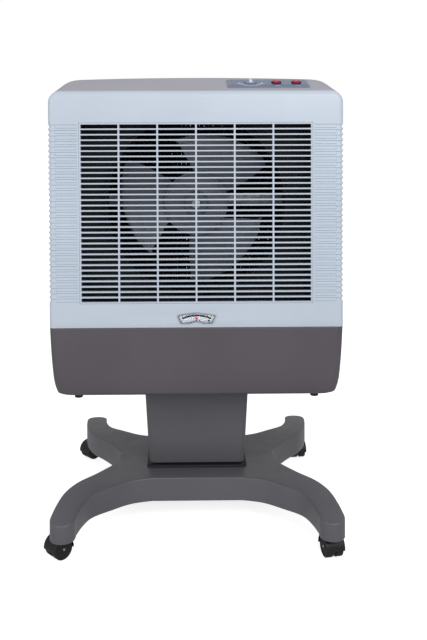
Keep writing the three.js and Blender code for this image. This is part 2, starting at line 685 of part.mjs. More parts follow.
function fanShroud() {
  const { half, plateY, wall, low, high, halfDepth, sides } = SHROUD;
  const plate = block(-half, half, plateY, plateY + wall, low, high);
  const ring = barY(SHROUD_R + wall, 0, FAN_Z, FAN_Y - halfDepth, FAN_Y + halfDepth, sides);
  const throat = barY(SHROUD_R, 0, FAN_Z, FAN_Y - halfDepth - REACH, FAN_Y + halfDepth + REACH, sides);
  return cut(join(plate, ring), throat);
}

place('fan_shroud', fanShroud(), darkGrey);

const BLADES = 3;
const BLADE_PITCH = 24 * DEG;
const FIRST_BLADE_ANGLE = 50 * DEG;
const HUB_SIDES = 24;

// One broad paddle blade, drawn along +X and pitched about its own length.
function fanBlade() {
  const outline = new THREE.Shape();
  outline.moveTo(HUB_R - 16, -34);
  outline.bezierCurveTo(115, -52, 150, -78, 186, -88);
  outline.bezierCurveTo(203, -60, 208, -20, 208, 12);
  outline.bezierCurveTo(208, 40, 200, 62, 190, 76);
  outline.bezierCurveTo(150, 78, 110, 60, HUB_R - 16, 38);
  outline.closePath();
  const blade = slabY(outline, -1.3, 1.3, 4);
  return blade.rotateX(BLADE_PITCH);
}

function fanRotor() {
  const hub = turnedY(
    [[SHAFT_R + GAP, -31], [26, -31], [34, -22], [HUB_R, -20], [HUB_R, 22], [HUB_R - 3, 22],
      [HUB_R - 3, -17], [32, -18], [24, 6], [SHAFT_R + GAP, 6], [SHAFT_R + GAP, -31]],
    0, 0, HUB_SIDES,
  );
  const cup = barY(HUB_R - 2.9, 0, 0, -17, 30, HUB_SIDES);
  const blades = [];
  for (let i = 0; i < BLADES; i++) {
    const angle = FIRST_BLADE_ANGLE + (i * 2 * Math.PI) / BLADES;
    blades.push(fanBlade().rotateY(-angle));
  }
  const outside = toSolid(join(...blades)).subtract(toSolid(cup));
  return toGeometry(outside.add(toSolid(hub))).translate(0, FAN_Y, FAN_Z);
}

place('fan_rotor', fanRotor(), bladeGrey);

const MOTOR_FRONT_Y = FAN_Y + 34;
const MOTOR_BACK_Y = MOTOR_FRONT_Y + 88;
const MOTOR_R = 62;
const SHAFT_FRONT_Y = FAN_Y - 36;
const NUT = { radius: 12, height: 12 };
place('motor_shaft', barY(SHAFT_R, 0, FAN_Z, SHAFT_FRONT_Y, MOTOR_FRONT_Y - GAP), steel);
place('fan_nut', barY(NUT.radius, 0, FAN_Z, SHAFT_FRONT_Y - NUT.height, SHAFT_FRONT_Y - GAP, 6), steel);

const motor = turnedY([
  [0, MOTOR_FRONT_Y],
  [24, MOTOR_FRONT_Y],
  [30, MOTOR_FRONT_Y + 8],
  [MOTOR_R - 4, MOTOR_FRONT_Y + 12],
  [MOTOR_R, MOTOR_FRONT_Y + 20],
  [MOTOR_R, MOTOR_BACK_Y - 10],
  [MOTOR_R - 8, MOTOR_BACK_Y],
  [0, MOTOR_BACK_Y],
], 0, FAN_Z, 24);
place('fan_motor', motor, steel);

// A cross bar between the side panels carries the motor on a round plate.
const BRACKET_Y = MOTOR_BACK_Y + GAP;
const BRACKET = { half: 346, wall: 4, barHalf: 16, plateR: 56, endHalf: 30, endDepth: 30 };

function motorBracketSolid() {
  const { half, wall, barHalf, plateR, endHalf, endDepth } = BRACKET;
  const bar = block(-half, half, BRACKET_Y, BRACKET_Y + wall, FAN_Z - barHalf, FAN_Z + barHalf);
  const plate = barY(plateR, 0, FAN_Z, BRACKET_Y, BRACKET_Y + wall, 24);
  const ends = [-half, half - wall].map((x) => (
    block(x, x + wall, BRACKET_Y, BRACKET_Y + endDepth, FAN_Z - endHalf, FAN_Z + endHalf)
  ));
  return join(bar, plate, ...ends);
}

const motorBracket = motorBracketSolid();
place('motor_bracket', motorBracket, steel);

// ---------------------------------------------------------------- controls on the slanted face
const controls = new THREE.Group();
controls.position.set(0, BODY_FRONT_Y, FRONT_TOP_Z);
controls.rotation.x = Math.atan((TOP_Z - FRONT_TOP_Z) / SLOPE_LENGTH);
cooler.add(controls);

const PLATE_TOP = 2.3;
const PLATE = { left: 77, right: 276, low: 38, high: 112, cornerR: 5 };
const KNOB = { x: 135, y: 82, radius: 16, disc: 4, height: 8, gripHalf: 4, gripLength: 14 };
const SWITCHES = [
  { name: 'power_switch', x: 198, y: 76 },
  { name: 'pump_switch', x: 247, y: 76 },
];
const plateOutline = roundedRectangle(PLATE.left, PLATE.right, PLATE.low, PLATE.high, PLATE.cornerR);
place('control_plate', slabZ(plateOutline, GAP, PLATE_TOP, 4), controlBlue, controls);

const knobBody = join(
  barZ(KNOB.radius, KNOB.x, KNOB.y, PLATE_TOP + GAP, PLATE_TOP + KNOB.disc, 20),
  block(
    KNOB.x - KNOB.gripHalf, KNOB.x + KNOB.gripHalf,
    KNOB.y - KNOB.gripLength, KNOB.y + KNOB.gripLength,
    PLATE_TOP + KNOB.disc - OVERLAP, PLATE_TOP + KNOB.height,
  ),
);
place('speed_knob', knobBody, white, controls);

const SWITCH_BEZEL = { radius: 12.5, boreR: 10.8, height: 3 };
const ROCKER = { radius: 9.6, low: 1.4, high: 6.6 };
const ROCKER_TILT = 6 * DEG;

for (const { name, x, y } of SWITCHES) {
  const bezel = cut(
    barZ(SWITCH_BEZEL.radius, x, y, PLATE_TOP + GAP, PLATE_TOP + SWITCH_BEZEL.height, 16),
    barZ(SWITCH_BEZEL.boreR, x, y, PLATE_TOP - OVERLAP, PLATE_TOP + SWITCH_BEZEL.height + OVERLAP, 16),
  );
  place(`${name}_bezel`, bezel, black, controls);
  const rocker = barZ(ROCKER.radius, 0, 0, ROCKER.low, ROCKER.high, 16);
  const rockerMesh = place(`${name}_rocker`, rocker, switchRed, controls);
  rockerMesh.position.set(x, y, PLATE_TOP);
  rockerMesh.rotation.x = -ROCKER_TILT;
}

// ---------------------------------------------------------------- column
function columnRing([halfX, halfY], inset, z, cornerR) {
  const outline = roundedRectangle(-halfX + inset, halfX - inset, -halfY + inset, halfY - inset, cornerR);
  return outline.getPoints(3).map((point) => new THREE.Vector3(point.x, point.y, z));
}

const COLUMN_FOOT_Z = BASE_TOP_Z + GAP;
const COLUMN_HEAD_Z = TANK_BOTTOM_Z - GAP;
const FLANGE = { halfX: 128, halfY: 78, cornerR: 14, holeX: 100, holeY: 50, holeR: 10, height: 5 };

function column() {
  const outer = loft([
    columnRing(COLUMN_FOOT_HALF, 0, COLUMN_FOOT_Z + FLANGE.height + GAP, COLUMN_CORNER_R),
    columnRing(COLUMN_TOP_HALF, 0, COLUMN_HEAD_Z, COLUMN_CORNER_R),
  ], overhead);
  const inner = loft([
    columnRing(COLUMN_FOOT_HALF, COLUMN_WALL, COLUMN_FOOT_Z, COLUMN_CORNER_R - COLUMN_WALL),
    columnRing(COLUMN_TOP_HALF, COLUMN_WALL, COLUMN_HEAD_Z + REACH, COLUMN_CORNER_R - COLUMN_WALL),
  ], overhead);
  return cut(outer, inner);
}

place('column', column(), standGrey);

const flange = roundedRectangle(-FLANGE.halfX, FLANGE.halfX, -FLANGE.halfY, FLANGE.halfY, FLANGE.cornerR);
flange.holes.push(
  roundedRectangle(-FLANGE.holeX, FLANGE.holeX, -FLANGE.holeY, FLANGE.holeY, FLANGE.holeR),
);
place('column_flange', slabZ(flange, COLUMN_FOOT_Z, COLUMN_FOOT_Z + FLANGE.height, 2), darkGrey);

// ---------------------------------------------------------------- base
const TIP_R = 29;
const TIP_X = 303;
const BASE_MIDDLE_HALF = 136; // the plate between the legs is level up to here
const BOSS = { radius: 13, low: BASE_BOTTOM_Z + 2, high: BASE_TOP_Z - 10, boreEnd: BASE_TOP_Z - 18 };

// One quarter of the plan, from the side notch round the leg's tip to the middle of the end.
function baseQuarter() {
  const outerEdge = new THREE.SplineCurve([
    [199, 0], [203, 40], [236, 95], [284, 150], [313, 205], [326, 262], [332, 308],
  ].map(([x, y]) => new THREE.Vector2(x, y)));
  const TIP_STEPS = 5;
  const tip = new THREE.Vector2(TIP_X, BASE_LENGTH_HALF - TIP_R);
  const innerEdge = new THREE.SplineCurve([
    [274, 308], [268, 268], [250, 225], [207, 184], [160, 149], [110, 138],
  ].map(([x, y]) => new THREE.Vector2(x, y)));
  const points = outerEdge.getPoints(10);
  for (let step = 0; step <= TIP_STEPS; step++) {
    const angle = (step / TIP_STEPS) * Math.PI;
    points.push(new THREE.Vector2(tip.x + TIP_R * Math.cos(angle), tip.y + TIP_R * Math.sin(angle)));
  }
  points.push(...innerEdge.getPoints(8));
  return points;
}

function baseOutline(inset) {
  const quarter = baseQuarter();
  const mirror = (points, sx, sy) => points.map((point) => new THREE.Vector2(point.x * sx, point.y * sy));
  const backwards = [...quarter].reverse();
  const ring = [
    ...quarter,
    ...mirror(backwards, -1, 1),
    ...mirror(quarter, -1, -1).slice(1),
    ...mirror(backwards, 1, -1).slice(0, -1),
  ];
  const tidy = ring.filter((point, i) => point.distanceTo(ring[(i + 1) % ring.length]) > 0.5);
  if (inset === 0) {
    return tidy;
  }
  return tidy.map((point, i) => {
    const before = tidy[(i + tidy.length - 1) % tidy.length];
    const after = tidy[(i + 1) % tidy.length];
    const along = after.clone().sub(before).normalize();
    return new THREE.Vector2(point.x - along.y * inset, point.y + along.x * inset);
  });
}

function baseTopZ(y) {
  const reach = (Math.abs(y) - BASE_MIDDLE_HALF) / (BASE_LENGTH_HALF - BASE_MIDDLE_HALF);
  return BASE_TOP_Z - BASE_TIP_DROP * THREE.MathUtils.clamp(reach, 0, 1);
}

function baseSolid(inset, lowZ, topDrop) {
  const outline = baseOutline(inset);
  const rings = [
    outline.map((point) => new THREE.Vector3(point.x, point.y, lowZ)),
    outline.map((point) => new THREE.Vector3(point.x, point.y, baseTopZ(point.y) - topDrop)),
  ];
  return loft(rings, overhead);
}

function base() {
  const shell = toSolid(baseSolid(0, BASE_BOTTOM_Z, 0));
  let solid = shell.subtract(toSolid(baseSolid(BASE_WALL, BASE_BOTTOM_Z - OVERLAP, BASE_WALL)));
  for (const x of [-STEM_X, STEM_X]) {
    for (const y of [-STEM_Y, STEM_Y]) {
      const boss = toSolid(barZ(BOSS.radius, x, y, BOSS.low, BOSS.high, 12));
      const bore = toSolid(barZ(STEM_R + SWIVEL_CLEARANCE, x, y, BASE_BOTTOM_Z, BOSS.boreEnd, 16));
      solid = solid.add(boss).subtract(bore);
    }
  }
  return toGeometry(solid);
}

place('base', base(), standGrey);

// ---------------------------------------------------------------- casters
// Built with the stem on the local Z axis, the wheels trailing along +X and the axle along Y.
const AXLE_R = 3;
const HOOD_R = WHEEL_R + 2;
const WEB_HALF = 2.5;
const WHEEL_GAP = 0.7; // between a wheel and the web
const HOOD_HALF = 23;
const HOOD_SIDES = 20;
const AXLE_HALF = 21;
const WHEEL_CHAMFER = 4;
const WHEEL_PLAY = 0.2; // between a wheel and its axle
const AXLE_PLAY = 0.15; // between the axle and the web
const NECK_R = 9;
const STEM_TOP_Z = BASE_TOP_Z - 20;

function casterHood() {
  const hood = cut(
    barY(HOOD_R, CASTER_TRAIL, WHEEL_R, -HOOD_HALF, HOOD_HALF, HOOD_SIDES),
    block(
      CASTER_TRAIL - HOOD_R - REACH, CASTER_TRAIL + HOOD_R + REACH,
      -HOOD_HALF - REACH, HOOD_HALF + REACH, -REACH, WHEEL_R - 2,
    ),
  );
  const web = barY(WHEEL_R - 3, CASTER_TRAIL, WHEEL_R, -WEB_HALF, WEB_HALF, 12);
  const neck = barZ(NECK_R, 0, 0, WHEEL_R + 6, WHEEL_R + HOOD_R, 12);
  const stem = barZ(STEM_R, 0, 0, WHEEL_R + 18, STEM_TOP_Z, 16);
  const pockets = [-1, 1].map((side) => {
    const [y0, y1] = side > 0 ? [WEB_HALF, HOOD_HALF + REACH] : [-HOOD_HALF - REACH, -WEB_HALF];
    return barY(WHEEL_R + 1, CASTER_TRAIL, WHEEL_R, y0, y1, HOOD_SIDES);
  });
  const bore = barY(AXLE_R + AXLE_PLAY, CASTER_TRAIL, WHEEL_R, -HOOD_HALF - REACH, HOOD_HALF + REACH, 12);
  return cut(join(hood, web, neck, stem), ...pockets, bore);
}

function casterWheel(side) {
  const inner = WEB_HALF + WHEEL_GAP;
  const outer = inner + WHEEL_WIDTH;
  const boreR = AXLE_R + WHEEL_PLAY;
  const profile = [
    [boreR, inner],
    [WHEEL_R, inner],
    [WHEEL_R, outer - WHEEL_CHAMFER],
    [WHEEL_R - WHEEL_CHAMFER, outer],
    [boreR, outer],
    [boreR, inner],
  ];
  const turned = turnedY(profile, CASTER_TRAIL, WHEEL_R, 20);
  if (side > 0) {
    return turned;
  }
  return turned.translate(-CASTER_TRAIL, 0, 0).rotateZ(Math.PI).translate(CASTER_TRAIL, 0, 0);
}

for (const { name, x, y, heading } of [
  { name: 'front_left', x: -STEM_X, y: -STEM_Y, heading: -135 },
  { name: 'front_right', x: STEM_X, y: -STEM_Y, heading: -78 },
  { name: 'rear_left', x: -STEM_X, y: STEM_Y, heading: -135 },
  { name: 'rear_right', x: STEM_X, y: STEM_Y, heading: -82 },
]) {
  const caster = new THREE.Group();
  caster.position.set(x, y, 0);
  caster.rotation.z = heading * DEG;
  cooler.add(caster);
  place(`${name}_caster_hood`, casterHood(), black, caster);
  place(`${name}_caster_axle`, barY(AXLE_R, CASTER_TRAIL, WHEEL_R, -AXLE_HALF, AXLE_HALF, 12), steel, caster);
  place(`${name}_wheel_inner`, casterWheel(-1), black, caster);
  place(`${name}_wheel_outer`, casterWheel(1), black, caster);
}

export default cooler;
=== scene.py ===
import json
import math

import bmesh
import bpy
from mathutils import Matrix, Vector, geometry


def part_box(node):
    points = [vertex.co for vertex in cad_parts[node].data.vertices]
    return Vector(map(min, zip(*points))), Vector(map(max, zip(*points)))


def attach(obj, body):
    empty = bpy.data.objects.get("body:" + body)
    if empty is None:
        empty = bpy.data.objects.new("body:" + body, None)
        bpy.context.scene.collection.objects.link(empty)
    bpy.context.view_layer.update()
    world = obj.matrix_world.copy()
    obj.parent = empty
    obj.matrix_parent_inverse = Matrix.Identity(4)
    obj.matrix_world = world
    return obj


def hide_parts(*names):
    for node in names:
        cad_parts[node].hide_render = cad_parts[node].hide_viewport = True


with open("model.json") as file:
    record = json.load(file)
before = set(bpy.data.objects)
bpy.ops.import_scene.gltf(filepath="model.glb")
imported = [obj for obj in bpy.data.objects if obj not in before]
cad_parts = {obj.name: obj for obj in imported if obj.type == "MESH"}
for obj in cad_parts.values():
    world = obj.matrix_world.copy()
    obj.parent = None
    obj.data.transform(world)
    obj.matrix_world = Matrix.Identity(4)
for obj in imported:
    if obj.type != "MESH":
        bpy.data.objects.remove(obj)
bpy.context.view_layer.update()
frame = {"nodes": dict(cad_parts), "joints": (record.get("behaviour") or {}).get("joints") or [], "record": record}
scene = bpy.context.scene

# ---- places taken from the frame
panel_low, panel_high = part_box("front_panel")
cover_low, cover_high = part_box("top_cover")
rear_low, rear_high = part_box("rear_frame")
grille_low, grille_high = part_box("front_grille")
tank_low, tank_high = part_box("tank")
column_low, column_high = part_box("column")
base_low, base_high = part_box("base")
pad_low, pad_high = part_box("cooling_pad")

MM = 0.001
HALF_WIDTH = panel_high.x
FRONT_Y = panel_low.y
BACK_Y = rear_high.y
ROOF_Z = cover_high.z
SLOPE_LENGTH = 130 * MM
SLOPE_RISE = 45 * MM
FRONT_CORNER = 24 * MM
REAR_CORNER = 60 * MM
CREST_BLEND = 12 * MM
SLOPE_ANGLE = math.atan(SLOPE_RISE / SLOPE_LENGTH)
JOINTS = {joint["name"]: joint for joint in frame["joints"]}


# ---- materials
def linear(red, green, blue):
    """A colour given in 0 to 255 display values, as the shader's linear numbers."""
    result = []
    for value in (red, green, blue):
        share = value / 255
        result.append(share / 12.92 if share <= 0.04045 else ((share + 0.055) / 1.055) ** 2.4)
    return (*result, 1.0)


def scaled(colour, factor):
    return (*[min(1.0, channel * factor) for channel in colour[:3]], 1.0)


def new_material(name):
    material = bpy.data.materials.new(name)
    material.use_nodes = True
    tree = material.node_tree
    return material, tree, tree.nodes["Principled BSDF"]


def set_inputs(node, values):
    for name, value in values.items():
        node.inputs[name].default_value = value


def noise(tree, scale, detail, stretch=None):
    """Noise in the object's own coordinates, stretched along its axes if asked."""
    vector = tree.nodes.new("ShaderNodeTexCoord").outputs["Object"]
    if stretch:
        mapping = tree.nodes.new("ShaderNodeMapping")
        mapping.inputs["Scale"].default_value = stretch
        tree.links.new(vector, mapping.inputs["Vector"])
        vector = mapping.outputs["Vector"]
    texture = tree.nodes.new("ShaderNodeTexNoise")
    set_inputs(texture, {"Scale": scale, "Detail": detail})
    tree.links.new(vector, texture.inputs["Vector"])
    return texture.outputs["Fac"]


NOISE_LOW = 0.3
NOISE_HIGH = 0.7


def remap(tree, source, low, high, from_low=NOISE_LOW, from_high=NOISE_HIGH):
    node = tree.nodes.new("ShaderNodeMapRange")
    set_inputs(node, {"From Min": from_low, "From Max": from_high, "To Min": low, "To Max": high})
    tree.links.new(source, node.inputs["Value"])
    return node.outputs["Result"]


# the Mix node's sockets for colours
MIX_FIRST = 6
MIX_SECOND = 7
MIX_RESULT = 2


def mix_colours(tree, factor, first, second):
    """Mixes two colours. The first is a colour or another node's output."""
    node = tree.nodes.new("ShaderNodeMix")
    node.data_type = "RGBA"
    tree.links.new(factor, node.inputs["Factor"])
    if isinstance(first, tuple):
        node.inputs[MIX_FIRST].default_value = first
    else:
        tree.links.new(first, node.inputs[MIX_FIRST])
    node.inputs[MIX_SECOND].default_value = second
    return node.outputs[MIX_RESULT]


def clouded(tree, scale, detail, dark, pale):
    return mix_colours(tree, remap(tree, noise(tree, scale, detail), 0.0, 1.0), dark, pale)


def connect(tree, shader, colour=None, roughness=None):
    """Links a colour and a roughness to the shader, where they are given."""
    for source, socket in ((colour, "Base Color"), (roughness, "Roughness")):
        if source:
            tree.links.new(source, shader.inputs[socket])


def bumped(tree, shader, height, strength, distance):
    bump = tree.nodes.new("ShaderNodeBump")
    set_inputs(bump, {"Strength": strength, "Distance": distance})
    tree.links.new(height, bump.inputs["Height"])
    tree.links.new(bump.outputs["Normal"], shader.inputs["Normal"])


# Pointiness range over which the painted edge highlight fades in
EDGE_START = 0.52
EDGE_FULL = 0.62


def moulded(name, colour, roughness=0.4, variation=0.05, grain=1400, depth=0.02, edge_highlight=1.12):
    """Injection-moulded plastic: cloudy colour, uneven gloss, fine grain and a painted highlight that makes its
    edges slightly paler.
    """
    material, tree, shader = new_material(name)
    base = clouded(tree, 5.0, 4.0, scaled(colour, 1 - variation), scaled(colour, 1 + variation))
    # painted highlight: the colour turns paler where Pointiness marks a convex edge
    surface = tree.nodes.new("ShaderNodeNewGeometry")
    edge = remap(tree, surface.outputs["Pointiness"], 0.0, 1.0, EDGE_START, EDGE_FULL)
    smear = noise(tree, 28.0, 5.0, (1.0, 1.0, 0.35))
    connect(
        tree, shader, mix_colours(tree, edge, base, scaled(colour, edge_highlight)),
        remap(tree, smear, roughness - 0.05, roughness + 0.07),
    )
    bumped(tree, shader, noise(tree, grain, 2.0), depth * 6, 0.00012)
    return material


def metal(name, colour, roughness=0.3, stretch=(40.0, 40.0, 900.0)):
    """Turned or brushed metal: streaks in colour, gloss and surface."""
    material, tree, shader = new_material(name)
    streak = noise(tree, 1.0, 4.0, stretch)
    connect(
        tree, shader, clouded(tree, 30.0, 4.0, scaled(colour, 0.86), scaled(colour, 1.08)),
        remap(tree, streak, roughness - 0.08, roughness + 0.12),
    )
    bumped(tree, shader, streak, 0.15, 0.0001)
    shader.inputs["Metallic"].default_value = 1.0
    return material


def shaded_pad_paper(name):
    """Resin-treated kraft paper with fibres and mineral stains, its whole colour painted darker as shade for the
    dim inside of the body.
    """
    material, tree, shader = new_material(name)
    fibre = noise(tree, 420.0, 5.0, (1.0, 0.3, 1.0))
    connect(
        # both colours are set darker than the pad's own tan: painted shade for the dim inside of the body
        tree, shader, clouded(tree, 14.0, 6.0, linear(62, 46, 31), linear(90, 67, 43)),
        remap(tree, fibre, 0.8, 0.98),
    )
    bumped(tree, shader, fibre, 0.5, 0.0002)
    return material


def clear_plastic(name):
    """A thin clear window with faint scratches in its gloss."""
    material, tree, shader = new_material(name)
    scratch = noise(tree, 1.0, 5.0, (900.0, 60.0, 160.0))
    connect(tree, shader, roughness=remap(tree, scratch, 0.02, 0.10))
    set_inputs(shader, {"Base Color": (0.96, 0.98, 0.98, 1.0), "Transmission Weight": 1.0, "IOR": 1.1})
    return material


# the optional last number given to moulded is the strength of its painted edge highlight
pale_blue = moulded("pale_blue_plastic", linear(207, 218, 232), 0.36, 0.03)
pale_grey = moulded("pale_grey_plastic", linear(186, 187, 198), 0.42, 0.03)
tank_grey = moulded("tank_grey_plastic", linear(94, 89, 96), 0.46, 0.07, 1100, 0.05)
stand_grey = moulded("stand_grey_plastic", linear(100, 100, 106), 0.34, 0.06, 1100, 0.05)
black_plastic = moulded("black_plastic", linear(22, 22, 26), 0.38, 0.15, 1600, 0.04, 1.6)
dark_plastic = moulded("dark_grey_plastic", linear(34, 34, 40), 0.6, 0.12, 1200, 0.06)
blade_plastic = moulded("blade_grey_plastic", linear(112, 114, 122), 0.35, 0.05)
control_film = moulded("control_film", linear(136, 147, 172), 0.3, 0.04, 2200, 0.03)
control_band = moulded("control_band_film", linear(108, 120, 148), 0.3, 0.04, 2200, 0.03)
switch_red = moulded("switch_red_plastic", linear(196, 30, 62), 0.25, 0.08, 1800, 0.02)
dial_grey = moulded("dial_grey_card", linear(206, 208, 216), 0.45, 0.03, 1600, 0.02)
white_plastic = moulded("white_plastic", linear(232, 234, 238), 0.35, 0.03, 1600, 0.02)
ink_black = moulded("ink_black", linear(16, 16, 24), 0.5, 0.15, 1800, 0.02)
ink_grey = moulded("ink_grey", linear(120, 122, 134), 0.5, 0.1, 1800, 0.02)
rubber = moulded("wheel_tread", linear(26, 26, 29), 0.6, 0.15, 700, 0.12, 1.5)
steel = metal("steel", linear(188, 192, 198), 0.28)
cast_steel = metal("motor_steel", linear(150, 153, 158), 0.45, (60.0, 60.0, 60.0))
brass = metal("brass", linear(182, 146, 84), 0.3)
# the pad paper is painted darker as shade for the dim inside of the body
paper = shaded_pad_paper("pad_cellulose")
clear = clear_plastic("clear_plastic")


# ---- outlines
def arc(centre_x, centre_y, radius, start, end, steps):
    """Points from angle start to angle end, in degrees, both included."""
    points = []
    for step in range(steps + 1):
        angle = math.radians(start + (end - start) * step / steps)
        points.append((centre_x + radius * math.cos(angle), centre_y + radius * math.sin(angle)))
    return points


def rounded_rectangle(x0, x1, y0, y1, radius, steps=6):
    return [
        *arc(x1 - radius, y0 + radius, radius, -90, 0, steps),
        *arc(x1 - radius, y1 - radius, radius, 0, 90, steps),
        *arc(x0 + radius, y1 - radius, radius, 90, 180, steps),
        *arc(x0 + radius, y0 + radius, radius, 180, 270, steps),
    ]


def filleted(corners, radius, steps=4, closed=True):
    """The polyline through corners with each corner rounded as far as its sides allow."""
    points = []
    count = len(corners)
    for index, corner in enumerate(corners):
        if not closed and index in (0, count - 1):
            points.append(tuple(corner))
            continue
        here = Vector(corner)
        back = Vector(corners[index - 1]) - here
        ahead = Vector(corners[(index + 1) % count]) - here
        turn = math.pi - back.angle(ahead)
        reach = min(radius * math.tan(turn / 2), 0.45 * back.length, 0.45 * ahead.length)
        first = here + back.normalized() * reach
        last = here + ahead.normalized() * reach
        for step in range(steps + 1):
            share = step / steps
            point = first.lerp(here, share).lerp(here.lerp(last, share), share)
            points.append(tuple(point))
    return points


def spline(knots, steps):
    """A Catmull-Rom curve through the knots."""
    points = []
    count = len(knots)
    for index in range(count - 1):
        before = Vector(knots[max(index - 1, 0)])
        start = Vector(knots[index])
        end = Vector(knots[index + 1])
        after = Vector(knots[min(index + 2, count - 1)])
        for step in range(steps):
            share = step / steps
            square = share * share
            cube = square * share
            point = 0.5 * (
                2 * start + (end - before) * share
                + (2 * before - 5 * start + 4 * end - after) * square
                + (3 * start - before - 3 * end + after) * cube
            )
            points.append(tuple(point))
    points.append(tuple(knots[-1]))
    return points


# ---- making pieces
def edited(mesh, change):
    """Runs a change on the mesh opened as a bmesh."""
    cloth = bmesh.new()
    cloth.from_mesh(mesh)
    change(cloth)
    cloth.to_mesh(mesh)
    cloth.free()


def joined(cloth):
    """Joins coincident points and turns every face outwards."""
    bmesh.ops.remove_doubles(cloth, verts=cloth.verts, dist=2e-6)
    bmesh.ops.dissolve_degenerate(cloth, edges=cloth.edges, dist=1e-7)
    bmesh.ops.recalc_face_normals(cloth, faces=cloth.faces)
    middle = sum((v.co for v in cloth.verts), Vector()) / len(cloth.verts)
    outward = sum((f.calc_center_median() - middle).dot(f.normal) * f.calc_area() for f in cloth.faces)
    if outward < 0:
        bmesh.ops.reverse_faces(cloth, faces=cloth.faces)


def object_of(name, vertices, faces, orient=True):
    mesh = bpy.data.meshes.new(name)
    mesh.from_pydata([tuple(vertex) for vertex in vertices], [], faces)
    if orient:
        edited(mesh, joined)
    piece = bpy.data.objects.new(name, mesh)
    scene.collection.objects.link(piece)
    return piece


def apply_modifiers(piece):
    bpy.context.view_layer.update()
    graph = bpy.context.evaluated_depsgraph_get()
    mesh = bpy.data.meshes.new_from_object(piece.evaluated_get(graph))
    piece.modifiers.clear()
    old = piece.data
    piece.data = mesh
    mesh.name = piece.name
    bpy.data.meshes.remove(old)


def thicken(piece, thickness):
    modifier = piece.modifiers.new("Wall", "SOLIDIFY")
    modifier.thickness = thickness
    modifier.offset = -1
    apply_modifiers(piece)


def round_edges(piece, width, segments=2, angle=30):
    modifier = piece.modifiers.new("Edges", "BEVEL")
    modifier.width = width
    modifier.segments = segments
    modifier.limit_method = "ANGLE"
    modifier.angle_limit = math.radians(angle)
    modifier.miter_outer = "MITER_ARC"
    apply_modifiers(piece)


def finish_piece(piece, look, nodes=(), smooth=35, body="frame", slot=None):
    """Gives a piece its look and shading, and ties it to its body.

    The slot argument is not used: without one, it works out the one that its material is named after and does
    nothing with it.
    """
    if slot is None:
        slot = look.name.split(".")[0]
    piece.data.materials.clear()
    piece.data.materials.append(look)
    piece.data.shade_smooth()
    piece.data.set_sharp_from_angle(angle=math.radians(smooth))
    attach(piece, body)
    if nodes:
        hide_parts(*nodes)
    return piece


def ring_faces(ring_count, size, closed=True, first=0):
    faces = []
    for ring in range(ring_count - 1):
        for index in range(size if closed else size - 1):
            after = (index + 1) % size
            low = first + ring * size
            faces.append((low + index, low + after, low + size + after, low + size + index))
    return faces


def loft(name, rings, cap_start=False, cap_end=False):
    size = len(rings[0])
    faces = ring_faces(len(rings), size)
    if cap_start:
        faces.append(tuple(range(size)))
    if cap_end:
        faces.append(tuple(range((len(rings) - 1) * size, len(rings) * size)))
    return object_of(name, [point for ring in rings for point in ring], faces)


def turned(name, profile, origin, axis, segments=48):
    """A closed profile of (radius, distance along axis) turned about the axis through origin."""
    along = Vector(axis).normalized()
    side = along.orthogonal().normalized()
    other = along.cross(side)
    rings = []
    for segment in range(segments):
        angle = 2 * math.pi * segment / segments
        out = side * math.cos(angle) + other * math.sin(angle)
        rings.append([Vector(origin) + out * max(r, 1e-5) + along * distance for r, distance in profile])
    rings.append(rings[0])
    return loft(name, rings)


def lathed(name, corners, radius, steps, origin, axis, segments=48, closed=True, side=1):
    """Corners (radius, distance) in millimetres, rounded off and turned about the axis through origin."""
    profile = [(r * MM, distance * MM * side) for r, distance in filleted(corners, radius, steps, closed)]
    return turned(name, profile, origin, axis, segments)


def plate(name, outlines, thickness, bevel, placing, segments=2):
    """A flat plate with rounded edges. The first outline is its edge and the others are its holes."""
    curve = bpy.data.curves.new(name, "CURVE")
    curve.dimensions = "2D"
    curve.fill_mode = "BOTH"
    curve.extrude = thickness / 2 - bevel
    curve.bevel_depth = bevel
    curve.bevel_resolution = segments - 1
    curve.offset = -bevel
    for outline in outlines:
        line = curve.splines.new("POLY")
        line.points.add(len(outline) - 1)
        for point, (x, y) in zip(line.points, outline):
            point.co = (x, y, 0, 1)
        line.use_cyclic_u = True
    maker = bpy.data.objects.new(name + "_maker", curve)
    scene.collection.objects.link(maker)
    bpy.context.view_layer.update()
    graph = bpy.context.evaluated_depsgraph_get()
    mesh = bpy.data.meshes.new_from_object(maker.evaluated_get(graph))
    bpy.data.objects.remove(maker)
    bpy.data.curves.remove(curve)
    mesh.transform(placing)
    mesh.name = name
    edited(mesh, joined)
    piece = bpy.data.objects.new(name, mesh)
    scene.collection.objects.link(piece)
    return piece


def drill(piece, centre, axis, radius, reach):
    """Cuts a round hole through a piece."""
    profile = [(0, -reach), (radius, -reach), (radius, reach), (0, reach)]
    cutter = turned("cutter", profile, centre, axis, 32)
    modifier = piece.modifiers.new("Hole", "BOOLEAN")
    modifier.operation = "DIFFERENCE"
    modifier.object = cutter
    modifier.solver = "EXACT"
    apply_modifiers(piece)
    bpy.data.objects.remove(cutter)


def body_of_node(node):
    for body, members in frame["record"]["behaviour"]["bodies"].items():
        if node in members:
            return body
    raise KeyError(node)


def slot_of_node(node):
    for row in frame["record"]["subparts"]:
        if row["node"] == node:
            return row["material_slot"]
    raise KeyError(node)


def refined(node, look, width, segments=2, smooth=35, angle=30):
    """A copy of a CAD node with its flats joined up and its sharp edges rounded."""
    mesh = frame["nodes"][node].data.copy()
    edited(mesh, joined)
    edited(mesh, lambda cloth: bmesh.ops.dissolve_limit(
        cloth, angle_limit=math.radians(1), verts=cloth.verts, edges=cloth.edges, delimit={"NORMAL"}
    ))
    piece = bpy.data.objects.new(node + "_form", mesh)
    scene.collection.objects.link(piece)
    round_edges(piece, width, segments, angle)
    return finish_piece(piece, look, [node], smooth, body=body_of_node(node), slot=slot_of_node(node))


